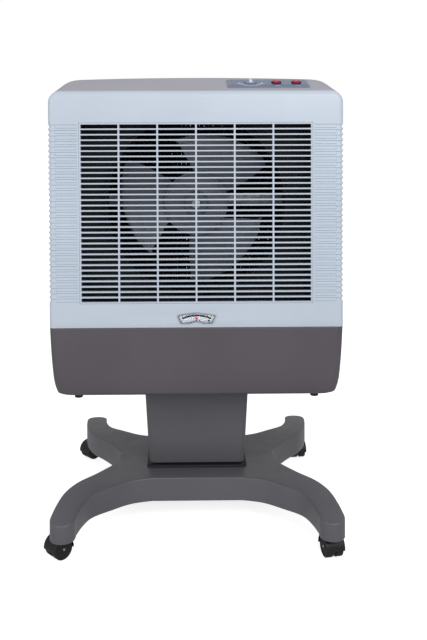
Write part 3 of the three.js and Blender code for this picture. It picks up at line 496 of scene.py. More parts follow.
FACING_FRONT = Matrix(((1, 0, 0, 0), (0, 0, 1, 0), (0, 1, 0, 0), (0, 0, 0, 1)))


def facing_front(y):
    """Plate coordinates (x, z) on the plane at depth y."""
    return Matrix.Translation((0, y, 0)) @ FACING_FRONT


def fronting(name, outlines, node, bevel, look, segments=2, smooth=35, slot=None):
    """A plate that faces the front, as deep as the CAD node that it stands for."""
    low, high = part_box(node)
    placing = facing_front((low.y + high.y) / 2)
    piece = plate(name, outlines, high.y - low.y, bevel, placing, segments)
    return finish_piece(piece, look, [node], smooth, slot=slot)


# ---- the body's outer form
def smooth_step(value):
    share = min(max(value, 0.0), 1.0)
    return share * share * (3 - 2 * share)


def slope_share(y):
    return min(max((y - FRONT_Y) / SLOPE_LENGTH, 0.0), 1.0)


def roof_z(y):
    """Height of the top at depth y, with the crest between slope and roof rounded off."""
    past_crest = y - FRONT_Y - SLOPE_LENGTH
    slope = SLOPE_RISE / SLOPE_LENGTH
    if abs(past_crest) < CREST_BLEND:
        return ROOF_Z - slope * (CREST_BLEND - past_crest) ** 2 / (4 * CREST_BLEND)
    return ROOF_Z + min(past_crest, 0.0) * slope


def corner_radius(y):
    return FRONT_CORNER + (REAR_CORNER - FRONT_CORNER) * slope_share(y)


CROWN_RISE = 1.5 * MM
CROWN_FALL = 4.5 * MM
CROWN_START_Y = FRONT_Y + 106 * MM
CROWN_FULL_Y = FRONT_Y + SLOPE_LENGTH


def crowned(point, radius, top):
    """Lifts the middle of the roof a little and lowers its sides."""
    x, y, z = point
    flat_half = HALF_WIDTH - REAR_CORNER
    share = min(abs(x) / flat_half, 1.0)
    lift = CROWN_RISE - CROWN_FALL * share * share
    height = min(max((z - (top - radius)) / radius, 0.0), 1.0)
    growth = smooth_step((y - CROWN_START_Y) / (CROWN_FULL_Y - CROWN_START_Y))
    return Vector((x, y, z + lift * height * growth))


ARCH_STEPS = 10
TOP_STEPS = 16


def arch(y, inset):
    """The top of the body's outline at depth y, from right to left."""
    radius = max(corner_radius(y) - inset, 2 * MM)
    half = HALF_WIDTH - inset
    top = roof_z(y) - inset
    flat = half - radius
    points = arc(flat, top - radius, radius, 0, 90, ARCH_STEPS)
    points += [(flat - 2 * flat * step / TOP_STEPS, top) for step in range(1, TOP_STEPS)]
    points += arc(-flat, top - radius, radius, 90, 180, ARCH_STEPS)
    return [crowned((x, y, z), radius, top) for x, z in points]


# ---- front panel
LOUVRE_ROWS = 33
LOUVRE_COLUMNS = 6
LOUVRE_HALF_WIDTH = 275 * MM
LOUVRE_LOW = 561 * MM
LOUVRE_HIGH = 986 * MM
LOUVRE_PITCH = (LOUVRE_HIGH - LOUVRE_LOW) / LOUVRE_ROWS
LOUVRE_BAR = 3.4 * MM
LOUVRE_RIB = 4 * MM
EDGE_RADIUS = 11 * MM
BAR_HALF = 1.9 * MM
GROOVE_MIDDLE = 2.6 * MM
GROOVE_END = 3.3 * MM
GROOVE_DEPTH = 2.0 * MM
STRIP_DEPTH = 0.5 * MM
NOTCH_DEPTH = 2.4 * MM
NOTCH_START_X = HALF_WIDTH - 17 * MM
LIP_HEIGHT = 1.6 * MM
LIP_DEPTH = 1.2 * MM
PANEL_WALL = 2.4 * MM


def from_bar(z):
    """Distance from the middle of the nearest louvre bar, or 0 outside the louvred height."""
    if not LOUVRE_LOW < z < LOUVRE_HIGH:
        return 0.0
    place = (z - LOUVRE_LOW) % LOUVRE_PITCH
    return min(place, LOUVRE_PITCH - place)


def face_sink(z):
    """How deep the fluted face lies at height z."""
    distance = from_bar(z)
    if distance <= BAR_HALF:
        return 0.0
    if distance <= GROOVE_MIDDLE:
        return GROOVE_DEPTH * (distance - BAR_HALF) / (GROOVE_MIDDLE - BAR_HALF)
    if distance <= GROOVE_END:
        share = (distance - GROOVE_MIDDLE) / (GROOVE_END - GROOVE_MIDDLE)
        return GROOVE_DEPTH + (STRIP_DEPTH - GROOVE_DEPTH) * share
    return STRIP_DEPTH


def notch_sink(z):
    """How deep the notches between the bars are where they wrap round the vertical corner."""
    return NOTCH_DEPTH * smooth_step((from_bar(z) - BAR_HALF) / (GROOVE_END - BAR_HALF))


def band_rows(low, high):
    """Heights of the fluted band's rows, with points at each change of its section."""
    steps = (
        -GROOVE_END, -GROOVE_MIDDLE, -BAR_HALF, 0, BAR_HALF, GROOVE_MIDDLE, GROOVE_END, LOUVRE_PITCH / 2
    )
    rows = [low]
    for row in range(LOUVRE_ROWS + 1):
        middle = LOUVRE_LOW + row * LOUVRE_PITCH
        for step in steps:
            if low + MM / 2 < middle + step < high - MM / 2:
                rows.append(middle + step)
    return [*rows, high]


def edge_stations(depth):
    """(inset, y, inward direction) from the flat face round the edge to the back of the panel."""
    stations = []
    for step in range(7):
        angle = math.radians(90 * step / 6)
        inset = EDGE_RADIUS * (1 - math.sin(angle))
        y = FRONT_Y + EDGE_RADIUS * (1 - math.cos(angle))
        stations.append((inset, y, Vector((-math.sin(angle), math.cos(angle), 0))))
    stations.append((0.0, FRONT_Y + depth * 0.68, Vector((-1, 0, 0))))
    stations.append((0.0, FRONT_Y + depth, Vector((-1, 0, 0))))
    return stations


def build_front_panel():
    margin = grille_high.x - LOUVRE_HALF_WIDTH + 0.3 * MM
    rim = 1.5 * MM
    open_x = LOUVRE_HALF_WIDTH + margin
    open_low = LOUVRE_LOW - margin
    open_high = LOUVRE_HIGH + margin
    bottom = panel_low.z
    depth = panel_high.y - FRONT_Y
    band = band_rows(open_low - rim, open_high + rim)
    low_rows = [bottom, bottom + LIP_HEIGHT / 2, bottom + LIP_HEIGHT, bottom + 20 * MM]
    high_rows = [open_high + 12 * MM, open_high + 28 * MM]
    rows = [*low_rows, *band, *high_rows]
    vertices = []
    faces = []

    def lip(z):
        share = max(0.0, 1 - (z - bottom) / LIP_HEIGHT)
        return LIP_DEPTH * share * share

    def add(point):
        vertices.append(point)
        return len(vertices) - 1

    def grid(columns):
        for left, right in zip(columns, columns[1:]):
            for index in range(len(left) - 1):
                faces.append((left[index], right[index], right[index + 1], left[index + 1]))

    def side_point(side, x, y, z, inward, sink):
        return Vector((side * x, y, z)) + Vector((side * inward.x, inward.y, 0)) * (sink + lip(z))

    # the rounded edge, all the way round the arch; its upper part behind the edge belongs to the cover
    columns = []
    stations = edge_stations(depth)
    for inset, y, inward in stations:
        right = [side_point(1, HALF_WIDTH - inset, y, z, inward, notch_sink(z)) for z in rows]
        left = [side_point(-1, HALF_WIDTH - inset, y, z, inward, notch_sink(z)) for z in reversed(rows)]
        columns.append([add(point) for point in [*right, *arch(y, inset), *left]])
    side_count = len(rows) + 1
    grid(columns[:7])
    grid([column[:side_count] for column in columns[6:]])
    grid([column[-side_count:] for column in columns[6:]])

    # the fluted bands beside the louvres
    x_stations = [
        (open_x + rim, 0.0), (open_x + rim + 2.2 * MM, 0.0), (open_x + rim + 2.9 * MM, 1.0),
        (open_x + 25 * MM, 1.0), (NOTCH_START_X - MM, 1.0), (NOTCH_START_X, 2.0),
        (HALF_WIDTH - EDGE_RADIUS, 2.0),
    ]
    forward = Vector((0, 1, 0))
    for side in (1, -1):
        bands = []
        for x, kind in x_stations:
            column = []
            for z in band:
                sink = notch_sink(z) if kind == 2.0 else kind * face_sink(z)
                column.append(add(side_point(side, x, FRONT_Y, z, forward, sink)))
            bands.append(column)
        grid(bands)

    # the rim of the louvre opening
    rings = []
    for out, sink in ((0.0, 0.9 * MM), (0.5 * MM, 0.2 * MM), (rim, 0.0)):
        x = open_x + out
        heights = [min(max(z, open_low - out), open_high + out) for z in band]
        ring = [Vector((x, FRONT_Y + sink, z)) for z in heights]
        ring += [Vector((-x, FRONT_Y + sink, z)) for z in reversed(heights)]
        rings.append([add(point) for point in ring])
    for inner, outer in zip(rings, rings[1:]):
        for index in range(len(inner)):
            after = (index + 1) % len(inner)
            faces.append((inner[index], inner[after], outer[after], outer[index]))

    # the plain strip below the louvres
    low_columns = []
    for x in (-HALF_WIDTH + EDGE_RADIUS, *[-a for a, _ in reversed(x_stations[:-1])],
              *[a for a, _ in x_stations[:-1]], HALF_WIDTH - EDGE_RADIUS):
        low_columns.append([add(Vector((x, FRONT_Y + lip(z), z))) for z in [*low_rows, band[0]]])
    grid(low_columns)

    # the plain field above the louvres
    top_z = band[-1]
    inset = EDGE_RADIUS
    lower_edge = [Vector((-a, FRONT_Y, top_z)) for a, _ in reversed(x_stations)]
    lower_edge += [Vector((a, FRONT_Y, top_z)) for a, _ in x_stations]
    upper_edge = [Vector((HALF_WIDTH - inset, FRONT_Y, z)) for z in high_rows]
    upper_edge += arch(FRONT_Y, inset)
    upper_edge += [Vector((-HALF_WIDTH + inset, FRONT_Y, z)) for z in reversed(high_rows)]
    faces.append(tuple(add(point) for point in [*lower_edge, *upper_edge]))

    panel = object_of("front_panel_shell", vertices, faces)
    thicken(panel, PANEL_WALL)
    drill(panel, (0, FRONT_Y, JOINTS["level_swing"]["pos_m"][2]), (0, 1, 0), 5 * MM, 8 * MM)
    finish_piece(panel, pale_blue, ["front_panel"], 30)


build_front_panel()


# ---- louvre grille
def slot_outlines(x0, x1, z0, z1, rows, columns, bar, rib, radius):
    pitch_x = (x1 - x0) / columns
    pitch_z = (z1 - z0) / rows
    outlines = []
    for column in range(columns):
        for row in range(rows):
            left = x0 + column * pitch_x + rib / 2
            low = z0 + row * pitch_z + bar / 2
            outlines.append(
                rounded_rectangle(left, left + pitch_x - rib, low, low + pitch_z - bar, radius, 2)
            )
    return outlines


def build_front_grille():
    edge = rounded_rectangle(grille_low.x, grille_high.x, grille_low.z, grille_high.z, 1.5 * MM, 2)
    slots = slot_outlines(
        -LOUVRE_HALF_WIDTH, LOUVRE_HALF_WIDTH, LOUVRE_LOW, LOUVRE_HIGH,
        LOUVRE_ROWS, LOUVRE_COLUMNS, LOUVRE_BAR, LOUVRE_RIB, 1.2 * MM,
    )
    fronting("front_louvres", [edge, *slots], "front_grille", 0.7 * MM, pale_blue, smooth=40)


build_front_grille()


# ---- top cover and side panels
COVER_LIP_Y = FRONT_Y + EDGE_RADIUS + 0.15 * MM
COVER_WALL = 2.6 * MM


def build_top_cover():
    foot_z = cover_low.z
    skirt_y = cover_low.y
    stations = [COVER_LIP_Y, FRONT_Y + 18 * MM, skirt_y - 0.15 * MM]
    stations += [skirt_y, FRONT_Y + 45 * MM, FRONT_Y + 75 * MM]
    past_crest = (-30, -24, -18, -12, -8, -4, 0, 4, 8, 12, 18, 60, 120, 180, 240)
    stations += [FRONT_Y + SLOPE_LENGTH + offset * MM for offset in past_crest]
    stations += [cover_high.y]
    rings = []
    for y in stations:
        points = arch(y, 0.0)
        low = foot_z if y >= skirt_y else points[0].z - 2 * MM
        high = foot_z + 12 * MM if y >= skirt_y else points[0].z - MM
        right = [Vector((HALF_WIDTH, y, z)) for z in (low, high)]
        left = [Vector((-HALF_WIDTH, y, z)) for z in (high, low)]
        rings.append([*right, *points, *left])
    size = len(rings[0])
    vertices = [point for ring in rings for point in ring]
    cover = object_of("top_cover_shell", vertices, ring_faces(len(rings), size, closed=False))
    thicken(cover, COVER_WALL)
    round_edges(cover, 0.6 * MM, 2, 50)
    finish_piece(cover, pale_grey, ["top_cover"], 30)


build_top_cover()

RIB_PITCH = 26 * MM
RIB_DEPTH = 1.6 * MM
SIDE_WALL = 1.6 * MM
SIDE_ROWS = 150
SIDE_COLUMNS = 44


def build_side_panel(node, side):
    low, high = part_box(node)
    field_low = Vector((0, low.y + 34 * MM, low.z + 58 * MM))
    field_high = Vector((0, high.y - 34 * MM, high.z - 44 * MM))
    outer_x = high.x if side > 0 else low.x
    vertices = []
    for row in range(SIDE_ROWS + 1):
        z = low.z + (high.z - low.z) * row / SIDE_ROWS
        for column in range(SIDE_COLUMNS + 1):
            y = low.y + (high.y - low.y) * column / SIDE_COLUMNS
            inside = min(y - field_low.y, field_high.y - y, z - field_low.z, field_high.z - z)
            mask = smooth_step(inside / (9 * MM))
            phase = (z - field_low.z) / RIB_PITCH
            wave = smooth_step((0.5 + 0.5 * math.cos(2 * math.pi * phase)) * 2.2 - 0.7)
            vertices.append(Vector((outer_x - side * RIB_DEPTH * mask * wave, y, z)))
    faces = ring_faces(SIDE_ROWS + 1, SIDE_COLUMNS + 1, closed=False)
    piece = object_of(node + "_sheet", vertices, faces, False)
    if piece.data.polygons[0].normal.x * side < 0:
        edited(piece.data, lambda cloth: bmesh.ops.reverse_faces(cloth, faces=cloth.faces))
    thicken(piece, SIDE_WALL)
    finish_piece(piece, pale_grey, [node], 40)


build_side_panel("left_side_panel", -1)
build_side_panel("right_side_panel", 1)


# ---- rear frame
INLET_X = -270 * MM
FITTING_Z = 516 * MM
INLET_HOLE = 10.3 * MM
GLAND_HOLE = 8.3 * MM
REAR_WALL = 1.8 * MM
# the share of the rounded corner's height up to which its points lead to the opening's side
SIDE_SHARE = 0.72


def build_rear_frame():
    unit_low, unit_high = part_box("rear_intake_grille")
    gap = 2 * MM
    x0 = unit_low.x - gap
    x1 = unit_high.x + gap
    z0 = unit_low.z - gap
    z1 = unit_high.z + gap
    bottom = rear_low.z
    edge = 8 * MM
    rings = []
    side_rows = [bottom, bottom + 30 * MM, z0, 800 * MM, ROOF_Z - REAR_CORNER - 25 * MM]

    def outline(y, inset):
        half = HALF_WIDTH - inset
        floor = bottom + inset * 0.25
        right = [Vector((half, y, max(z, floor))) for z in side_rows]
        left = [Vector((-half, y, max(z, floor))) for z in reversed(side_rows)]
        return [*right, *arch(y, inset), *left]

    def opening(y, grow):
        """The opening's outline with one point for each point of the body's outline."""
        points = []
        for point in outline(BACK_Y, 0.0):
            x = min(max(point.x, x0 - grow), x1 + grow)
            z = min(max(point.z, z0 - grow), z1 + grow)
            if abs(point.x) > HALF_WIDTH - REAR_CORNER and point.z > ROOF_Z - REAR_CORNER:
                lean = (point.z - (ROOF_Z - REAR_CORNER)) / REAR_CORNER
                x = (x1 + grow) * (1 if point.x > 0 else -1) if lean < SIDE_SHARE else x
                z = z1 + grow if lean >= SIDE_SHARE else z
            points.append(Vector((x, y, z)))
        return points

    rings.append(outline(rear_low.y, 0.0))
    for step in range(6):
        angle = math.radians(90 * step / 5)
        inset = edge * (1 - math.cos(angle))
        rings.append(outline(BACK_Y - edge + edge * math.sin(angle), inset))
    rings.append(opening(BACK_Y, 3 * MM))
    rings.append(opening(BACK_Y - 0.4 * MM, 1.2 * MM))
    rings.append(opening(BACK_Y - 1.4 * MM, 0.2 * MM))
    rings.append(opening(BACK_Y - 9 * MM, 0.0))
    piece = loft("rear_frame_shell", rings)
    thicken(piece, REAR_WALL)
    gland_low, gland_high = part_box("cord_gland")
    gland_x = ((gland_low + gland_high) / 2).x
    for x, radius in ((INLET_X, INLET_HOLE), (gland_x, GLAND_HOLE)):
        drill(piece, (x, BACK_Y, FITTING_Z), (0, 1, 0), radius, 6 * MM)
    finish_piece(piece, pale_blue, ["rear_frame"], 30)


build_rear_frame()


# ---- rear intake grille
def build_rear_grille():
    low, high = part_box("rear_intake_grille")
    border = 10 * MM
    bar = 8 * MM
    rib = 12 * MM
    face_depth = 4 * MM
    rows = 18
    columns = 2
    edge = rounded_rectangle(low.x, high.x, low.z, high.z, 3 * MM, 3)
    slots = slot_outlines(
        low.x + border, high.x - border, low.z + border, high.z - border, rows, columns, bar, rib, bar / 2,
    )
    placing = facing_front(high.y - face_depth / 2)
    front = plate("rear_intake_face", [edge, *slots], face_depth, 0.8 * MM, placing)
    finish_piece(front, pale_blue, ["rear_intake_grille"], 40, body="rear_unit")
    pitch = (high.z - low.z - 2 * border) / rows
    vertices = []
    faces = []
    for column in range(columns):
        middle = (column - 0.5) * (high.x - low.x - 2 * border) / columns
        half = (high.x - low.x - 2 * border) / columns / 2 - 2 * MM
        for row in range(2 * rows):
            z = low.z + border + (row + 0.5) * pitch / 2
            section = filleted(
                [(low.y + 0.4 * MM, z - 4.5 * MM), (low.y + 2.2 * MM, z - 5 * MM),
                 (high.y - 4.4 * MM, z + 2.5 * MM), (high.y - 4.4 * MM, z + 4.5 * MM)],
                0.8 * MM, 2,
            )
            size = len(section)
            first = len(vertices)
            for x in (middle - half, middle + half):
                vertices += [Vector((x, y, height)) for y, height in section]
            faces += ring_faces(2, size, first=first)
            faces.append(tuple(range(first + size - 1, first - 1, -1)))
            faces.append(tuple(range(first + size, first + 2 * size)))
    slats = object_of("rear_intake_slats", vertices, faces)
    finish_piece(slats, pale_blue, smooth=40, body="rear_unit")


build_rear_grille()


# ---- cooling pad
def build_pad():
    """Corrugated sheets side by side, with waves that lean up and down in turn."""
    sheets = 46
    sheet_wall = 0.5 * MM
    gap = 0.1 * MM
    wave = 26 * MM
    wave_lean = 0.5
    rows = 118
    depth_steps = 12
    spacing = (pad_high.x - pad_low.x) / sheets
    reach = spacing / 2 - gap
    vertices = []
    faces = []
    for sheet in range(sheets):
        lean = 1 if sheet % 2 else -1
        middle = pad_low.x + (sheet + 0.5) * spacing
        first = len(vertices)
        for row in range(rows + 1):
            z = pad_low.z + (pad_high.z - pad_low.z) * row / rows
            for step in range(depth_steps + 1):
                y = pad_low.y + (pad_high.y - pad_low.y) * step / depth_steps
                turns = (z + lean * wave_lean * (y - pad_low.y)) / wave
                phase = 2 * math.pi * turns + (math.pi if lean > 0 else 0)
                vertices.append(Vector((middle + reach * math.sin(phase), y, z)))
        faces += ring_faces(rows + 1, depth_steps + 1, closed=False, first=first)
    pad = object_of("cooling_pad_sheets", vertices, faces, False)
    thicken(pad, sheet_wall)
    finish_piece(pad, paper, ["cooling_pad"], 60, body="rear_unit")


build_pad()


# ---- tank
TANK_WALL = 3 * MM


def tank_ring(z, inset, radius):
    half_x = tank_high.x - inset
    half_y = tank_high.y - inset
    outline = rounded_rectangle(-half_x, half_x, -half_y, half_y, radius, 8)
    return [Vector((x, y, z)) for x, y in outline]


def build_tank():
    floor = tank_low.z
    profile = spline(
        [(0, 30), (1.2, 23), (4.5, 17), (10, 13), (40, 6.9), (100, 2.6), (150, 0.6), (163, 0.2)], 3
    )
    top = (tank_high.z - floor) / MM
    profile += [(top - 2.2, 0.0), (top - 1.2, 0.1), (top - 0.4, 0.5), (top, 1.2)]
    rings = [tank_ring(floor + z * MM, inset * MM, (20 + inset / 2) * MM) for z, inset in profile]
    tank = loft("tank_shell", rings, cap_start=True)
    thicken(tank, TANK_WALL)
    drain_low, drain_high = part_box("drain_plug")
    centre = (drain_low + drain_high) / 2
    drill(tank, (centre.x, BACK_Y, centre.z), (0, 1, 0), 9.3 * MM, 40 * MM)
    finish_piece(tank, tank_grey, ["tank"], 30)


build_tank()


# ---- column
def column_ring(half_x, half_y, z, radius):
    return [Vector((x, y, z)) for x, y in rounded_rectangle(-half_x, half_x, -half_y, half_y, radius, 7)]


COLUMN_FOOT = (122, 72)
COLUMN_CORNER = 12 * MM
COLUMN_LIFT = 5.3 * MM
COLUMN_WALL = 3.5 * MM


def build_column():
    foot = Vector(COLUMN_FOOT) * MM
    head = Vector((column_high.x, column_high.y))
    rings = []
    for share in (0, 0.012, 0.5, 0.985, 1):
        half = foot.lerp(head, share)
        trim = 1.2 * MM if share in (0, 1) else 0.0
        z = column_low.z + COLUMN_LIFT + share * (column_high.z - column_low.z - COLUMN_LIFT)
        rings.append(column_ring(half.x - trim, half.y - trim, z, COLUMN_CORNER))
    column = loft("column_shell", rings)
    thicken(column, COLUMN_WALL)
    finish_piece(column, stand_grey, ["column"], 30)


build_column()
refined("column_flange", dark_plastic, 1.2 * MM)


# ---- base
BASE_QUARTER_OUT = [(204, 0), (209, 38), (252, 104), (292, 154), (316, 204), (327, 258), (332, 308)]
BASE_QUARTER_IN = [(274, 304), (266, 264), (249, 222), (209, 187), (162, 153), (112, 138)]
TIP_CENTRE = (303, 316)
TIP_RADIUS = 29
BASE_EDGE = 3 * MM
BASE_WALL = 3.5 * MM
TOP_GRID = 15 * MM
SAME_POINT = 1e-6
LEG_FALL = 16 * MM
LEG_START_Y = 136 * MM
STEM_X = 300
STEM_Y = 280
SOCKET_BORE = 5.2 * MM
SOCKET_RADIUS = 13 * MM


def base_outline():
    """The plan of the base: four curved legs round a middle plate."""
    quarter = spline(BASE_QUARTER_OUT, 5)
    quarter += arc(*TIP_CENTRE, TIP_RADIUS, 0, 180, 10)
    quarter += spline(BASE_QUARTER_IN, 5)
    backwards = quarter[::-1]
    ring = list(quarter)
    ring += [(-x, y) for x, y in backwards]
    ring += [(-x, -y) for x, y in quarter[1:]]
    ring += [(x, -y) for x, y in backwards[:-1]]
    points = []
    for x, y in ring:
        point = Vector((x, y)) * MM
        if not points or (point - points[-1]).length > 0.8 * MM:
            points.append(point)
    return points


def inset_outline(points, inset):
    result = []
    for index, point in enumerate(points):
        along = (points[(index + 1) % len(points)] - points[index - 1]).normalized()
        result.append(point + Vector((-along.y, along.x)) * inset)
    return result


def leg_drop(y):
    """How far the top has fallen towards the tips of the legs."""
    reach = (abs(y) - LEG_START_Y) / (base_high.y - LEG_START_Y)
    return LEG_FALL * smooth_step(0.5 * min(max(reach, 0.0), 1.0)) * 2


def filled_top(ring):
    """Triangles over the inside of a closed ring, following the fall of the legs."""
    flat = [Vector((point.x, point.y)) for point in ring]
    inner = [Vector((x, y)) * TOP_GRID for x in range(-24, 25) for y in range(-24, 25)]
    boundary = [list(range(len(flat)))]
    corners, _, faces, _, _, _ = geometry.delaunay_2d_cdt([*flat, *inner], [], boundary, 1, SAME_POINT)
    vertices = []
    for corner in corners:
        nearest = min(ring, key=lambda point: (point.x - corner.x) ** 2 + (point.y - corner.y) ** 2)
        if math.hypot(nearest.x - corner.x, nearest.y - corner.y) < SAME_POINT:
            vertices.append(nearest.copy())
        else:
            vertices.append(Vector((corner.x, corner.y, base_high.z - leg_drop(corner.y))))
    return vertices, faces


def build_base():
    outline = base_outline()
    rings = []
    flare = [(0.0, 1.0), (1.2, 0.3), (3.0, 0.0), (20.0, 0.0)]
    for height, inset in flare:
        ring = inset_outline(outline, inset * MM)
        rings.append([Vector((p.x, p.y, base_low.z + height * MM)) for p in ring])
    for step in range(7):
        angle = math.radians(90 * step / 6)
        inset = BASE_EDGE * (1 - math.cos(angle))
        fall = BASE_EDGE * (1 - math.sin(angle))
        ring = inset_outline(outline, inset)
        rings.append([Vector((p.x, p.y, base_high.z - leg_drop(p.y) - fall)) for p in ring])
    vertices = [point for ring in rings for point in ring]
    faces = ring_faces(len(rings), len(outline))
    cap_vertices, cap_faces = filled_top(rings[-1])
    faces += [tuple(len(vertices) + index for index in face) for face in cap_faces]
    base = object_of("base_shell", [*vertices, *cap_vertices], faces)
    thicken(base, BASE_WALL)
    finish_piece(base, stand_grey, ["base"], 30)
    for x in (-STEM_X, STEM_X):
        for y in (-STEM_Y, STEM_Y):
            name = f"base_socket_{'left' if x < 0 else 'right'}_{'front' if y < 0 else 'rear'}"
            low = base_low.z + 2 * MM
            high = base_high.z - leg_drop(y * MM) - BASE_WALL
            corners = [(SOCKET_BORE, low), (SOCKET_RADIUS, low), (SOCKET_RADIUS, high), (SOCKET_BORE, high)]
            socket = turned(name, filleted(corners, MM, 2), (x * MM, y * MM, 0), (0, 0, 1), 32)
            finish_piece(socket, stand_grey)


build_base()


# ---- casters
WHEEL_RADIUS = 24 * MM
TRAIL = 22 * MM


def caster_frame(corner):
    """The swivel's origin on the floor, the trailing direction, and the axle's direction."""
    swivel = Vector(JOINTS[f"{corner}_swivel"]["pos_m"])
    roll = Vector(JOINTS[f"{corner}_inner_roll"]["pos_m"])
    trail = Vector((roll.x - swivel.x, roll.y - swivel.y, 0)).normalized()
    return Vector((swivel.x, swivel.y, 0)), trail, Vector((-trail.y, trail.x, 0))


def build_wheel(corner, which):
    origin, trail, axle = caster_frame(corner)
    side = -1 if which == "inner" else 1
    inner = 3.3
    outer = 20.6
    profile = [
        (3.2, inner + 1), (15, inner + 1), (16, inner), (24, inner), (24, outer - 1.5), (20.5, outer),
        (18.5, outer), (17.8, outer - 1.6), (10, outer - 2.4), (8, outer - 0.6), (3.2, outer - 0.4),
    ]
    node = f"{corner}_wheel_{which}"
    centre = origin + trail * TRAIL + Vector((0, 0, WHEEL_RADIUS))
    wheel = lathed(node + "_form", profile, 1.3, 3, centre, axle, 56, side=side)
    finish_piece(wheel, rubber, [node], 40, body=node, slot="black_plastic")


def build_hood(corner):
    origin, trail, axle = caster_frame(corner)
    node = f"{corner}_caster_hood"
    body = f"{corner}_caster"
    centre = origin + trail * TRAIL + Vector((0, 0, WHEEL_RADIUS))
    corners = [(24.9, -21), (24.9, 21), (25.3, 22.8), (26, 21.5), (26, -21.5), (25.3, -22.8)]
    shell = filleted(corners, 0.8, 2)
    steps = 32
    rings = []
    for step in range(steps + 1):
        angle = math.radians(-6 + 192 * step / steps)
        out = trail * math.cos(angle) + Vector((0, 0, math.sin(angle)))
        rings.append([centre + out * (r * MM) + axle * (distance * MM) for r, distance in shell])
    hood = loft(node + "_shell", rings, cap_start=True, cap_end=True)
    finish_piece(hood, black_plastic, [node], 40, body=body)
    disc = [(3.3, -2.4), (21, -2.4), (21, 2.4), (3.3, 2.4)]
    web = lathed(node + "_web", disc, 1, 2, centre, axle, 40)
    finish_piece(web, black_plastic, body=body)
    neck = [(0.01, 30), (8, 30), (9.5, 36), (9.5, 49.5), (8.5, 50.5), (5, 51), (5, 89), (4, 90), (0.01, 90)]
    stem = lathed(node + "_stem", neck, 0.8, 2, origin, (0, 0, 1), 32, closed=False)
    finish_piece(stem, black_plastic, body=body)
    refined(f"{corner}_caster_axle", steel, 0.5 * MM)


for corner_name in ("front_left", "front_right", "rear_left", "rear_right"):
    build_hood(corner_name)
    build_wheel(corner_name, "inner")
    build_wheel(corner_name, "outer")
    refined(f"tank_foot_{corner_name}", black_plastic, 1.5 * MM, 3)


# ---- fan
FAN_Z = JOINTS["fan_spin"]["pos_m"][2]
FAN_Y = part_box("motor_shaft")[0].y + 36 * MM
BLADE_PITCH = 18
BLADE_HEADING = 65
BLADE_COUNT = 3
BLADE_LEAD = [
    (60, 30), (79, 51), (98, 80), (117, 106), (121, 118), (140, 97), (158, 74), (172, 40), (178, 20),
]
BLADE_TRAIL = [
    (50, -58), (75, -78), (109, -103), (153, -127), (168, -124),
    (178, -102), (185, -60), (186, -20), (184, -2),
]


def build_fan():
    lead = spline(BLADE_LEAD, 4)
    trail = spline(BLADE_TRAIL, 4)
    chord_steps = 12
    for blade in range(BLADE_COUNT):
        heading = math.radians(BLADE_HEADING + 360 / BLADE_COUNT * blade)
        radial = Vector((math.cos(heading), 0, math.sin(heading)))
        across = Vector((-math.sin(heading), 0, math.cos(heading)))
        rings = []
        for (lead_x, lead_c), (trail_x, trail_c) in zip(lead, trail):
            pitch = math.radians(BLADE_PITCH + 5 * (130 - lead_x) / 100)
            half = 1.5 - 0.6 * (lead_x - 55) / 155
            upper = []
            lower = []
            for step in range(chord_steps + 1):
                share = step / chord_steps
                x = lead_x + (trail_x - lead_x) * share
                chord = lead_c + (trail_c - lead_c) * share
                belly = -0.05 * (lead_c - trail_c) * 4 * share * (1 - share)
                thick = half * min(1.0, 0.25 + 4 * math.sqrt(share * (1 - share)))
                for side, chain in ((-1, upper), (1, lower)):
                    offset = belly + side * thick
                    y = offset * math.cos(pitch) - chord * math.sin(pitch)
                    c = offset * math.sin(pitch) + chord * math.cos(pitch)
                    point = radial * x * MM + across * c * MM
                    chain.append(Vector((point.x, FAN_Y + y * MM, FAN_Z + point.z)))
            rings.append([*upper, *reversed(lower)])
        piece = loft(f"fan_blade_{blade + 1}", rings, cap_start=True, cap_end=True)
        finish_piece(piece, blade_plastic, smooth=50, body="fan")
    profile = [
        (6.3, -30), (24, -30), (28, -27), (33, -21), (60, -19.5), (72, -20), (74.5, -23), (78, -23.5),
        (79, -21), (79, 21), (76.5, 21), (76.5, -16), (62, -17), (32, -17), (24, 5), (6.3, 5),
    ]
    hub = lathed("fan_hub", profile, 1.5, 2, (0, FAN_Y, FAN_Z), (0, 1, 0), 72)
    finish_piece(hub, blade_plastic, ["fan_rotor"], 40, body="fan")


build_fan()
refined("motor_shaft", steel, 0.6 * MM, 2, 40)
refined("fan_nut", steel, 1.2 * MM, 3)
refined("fan_shroud", dark_plastic, 0.7 * MM, 2, 20, 40)
refined("motor_bracket", cast_steel, 0.8 * MM)


def build_motor():
    low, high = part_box("fan_motor")
    centre = (low + high) / 2
    length = (high.y - low.y) / MM
    profile = [(0.01, 0), (24, 0), (26, 6), (52, 10), (59, 16)]
    fins = 7
    for fin in range(fins):
        start = 20 + fin * 7.5
        profile += [(62, start), (62, start + 4), (58.5, start + 4.6), (58.5, start + 7)]
    profile += [(59, length - 10), (54, length - 1), (50, length), (0.01, length)]
    place = (centre.x, low.y, centre.z)
    motor = lathed("fan_motor_case", profile, 0.8, 2, place, (0, 1, 0), 64, closed=False)
    finish_piece(motor, cast_steel, ["fan_motor"], 40, slot="steel")


build_motor()

# ---- water circuit and rear fittings
for node_name, node_look, edge_width, *shape in (
    ("pad_frame", dark_plastic, 1.2),
    ("water_distributor", pale_grey, 0.8),
    ("riser_pipe", dark_plastic, 0.4, 2, 60, 60),
    ("water_pump", black_plastic, 1.2),
    ("inlet_fitting", brass, 0.7),
    ("inlet_arm", brass, 0.5),
    ("inlet_float", black_plastic, 3, 4),
    ("level_lever", brass, 0.4),
    ("level_float", white_plastic, 3, 4),
    ("cord_gland", black_plastic, 0.8),
    ("drain_plug", black_plastic, 0.8),
):
    refined(node_name, node_look, edge_width * MM, *shape)


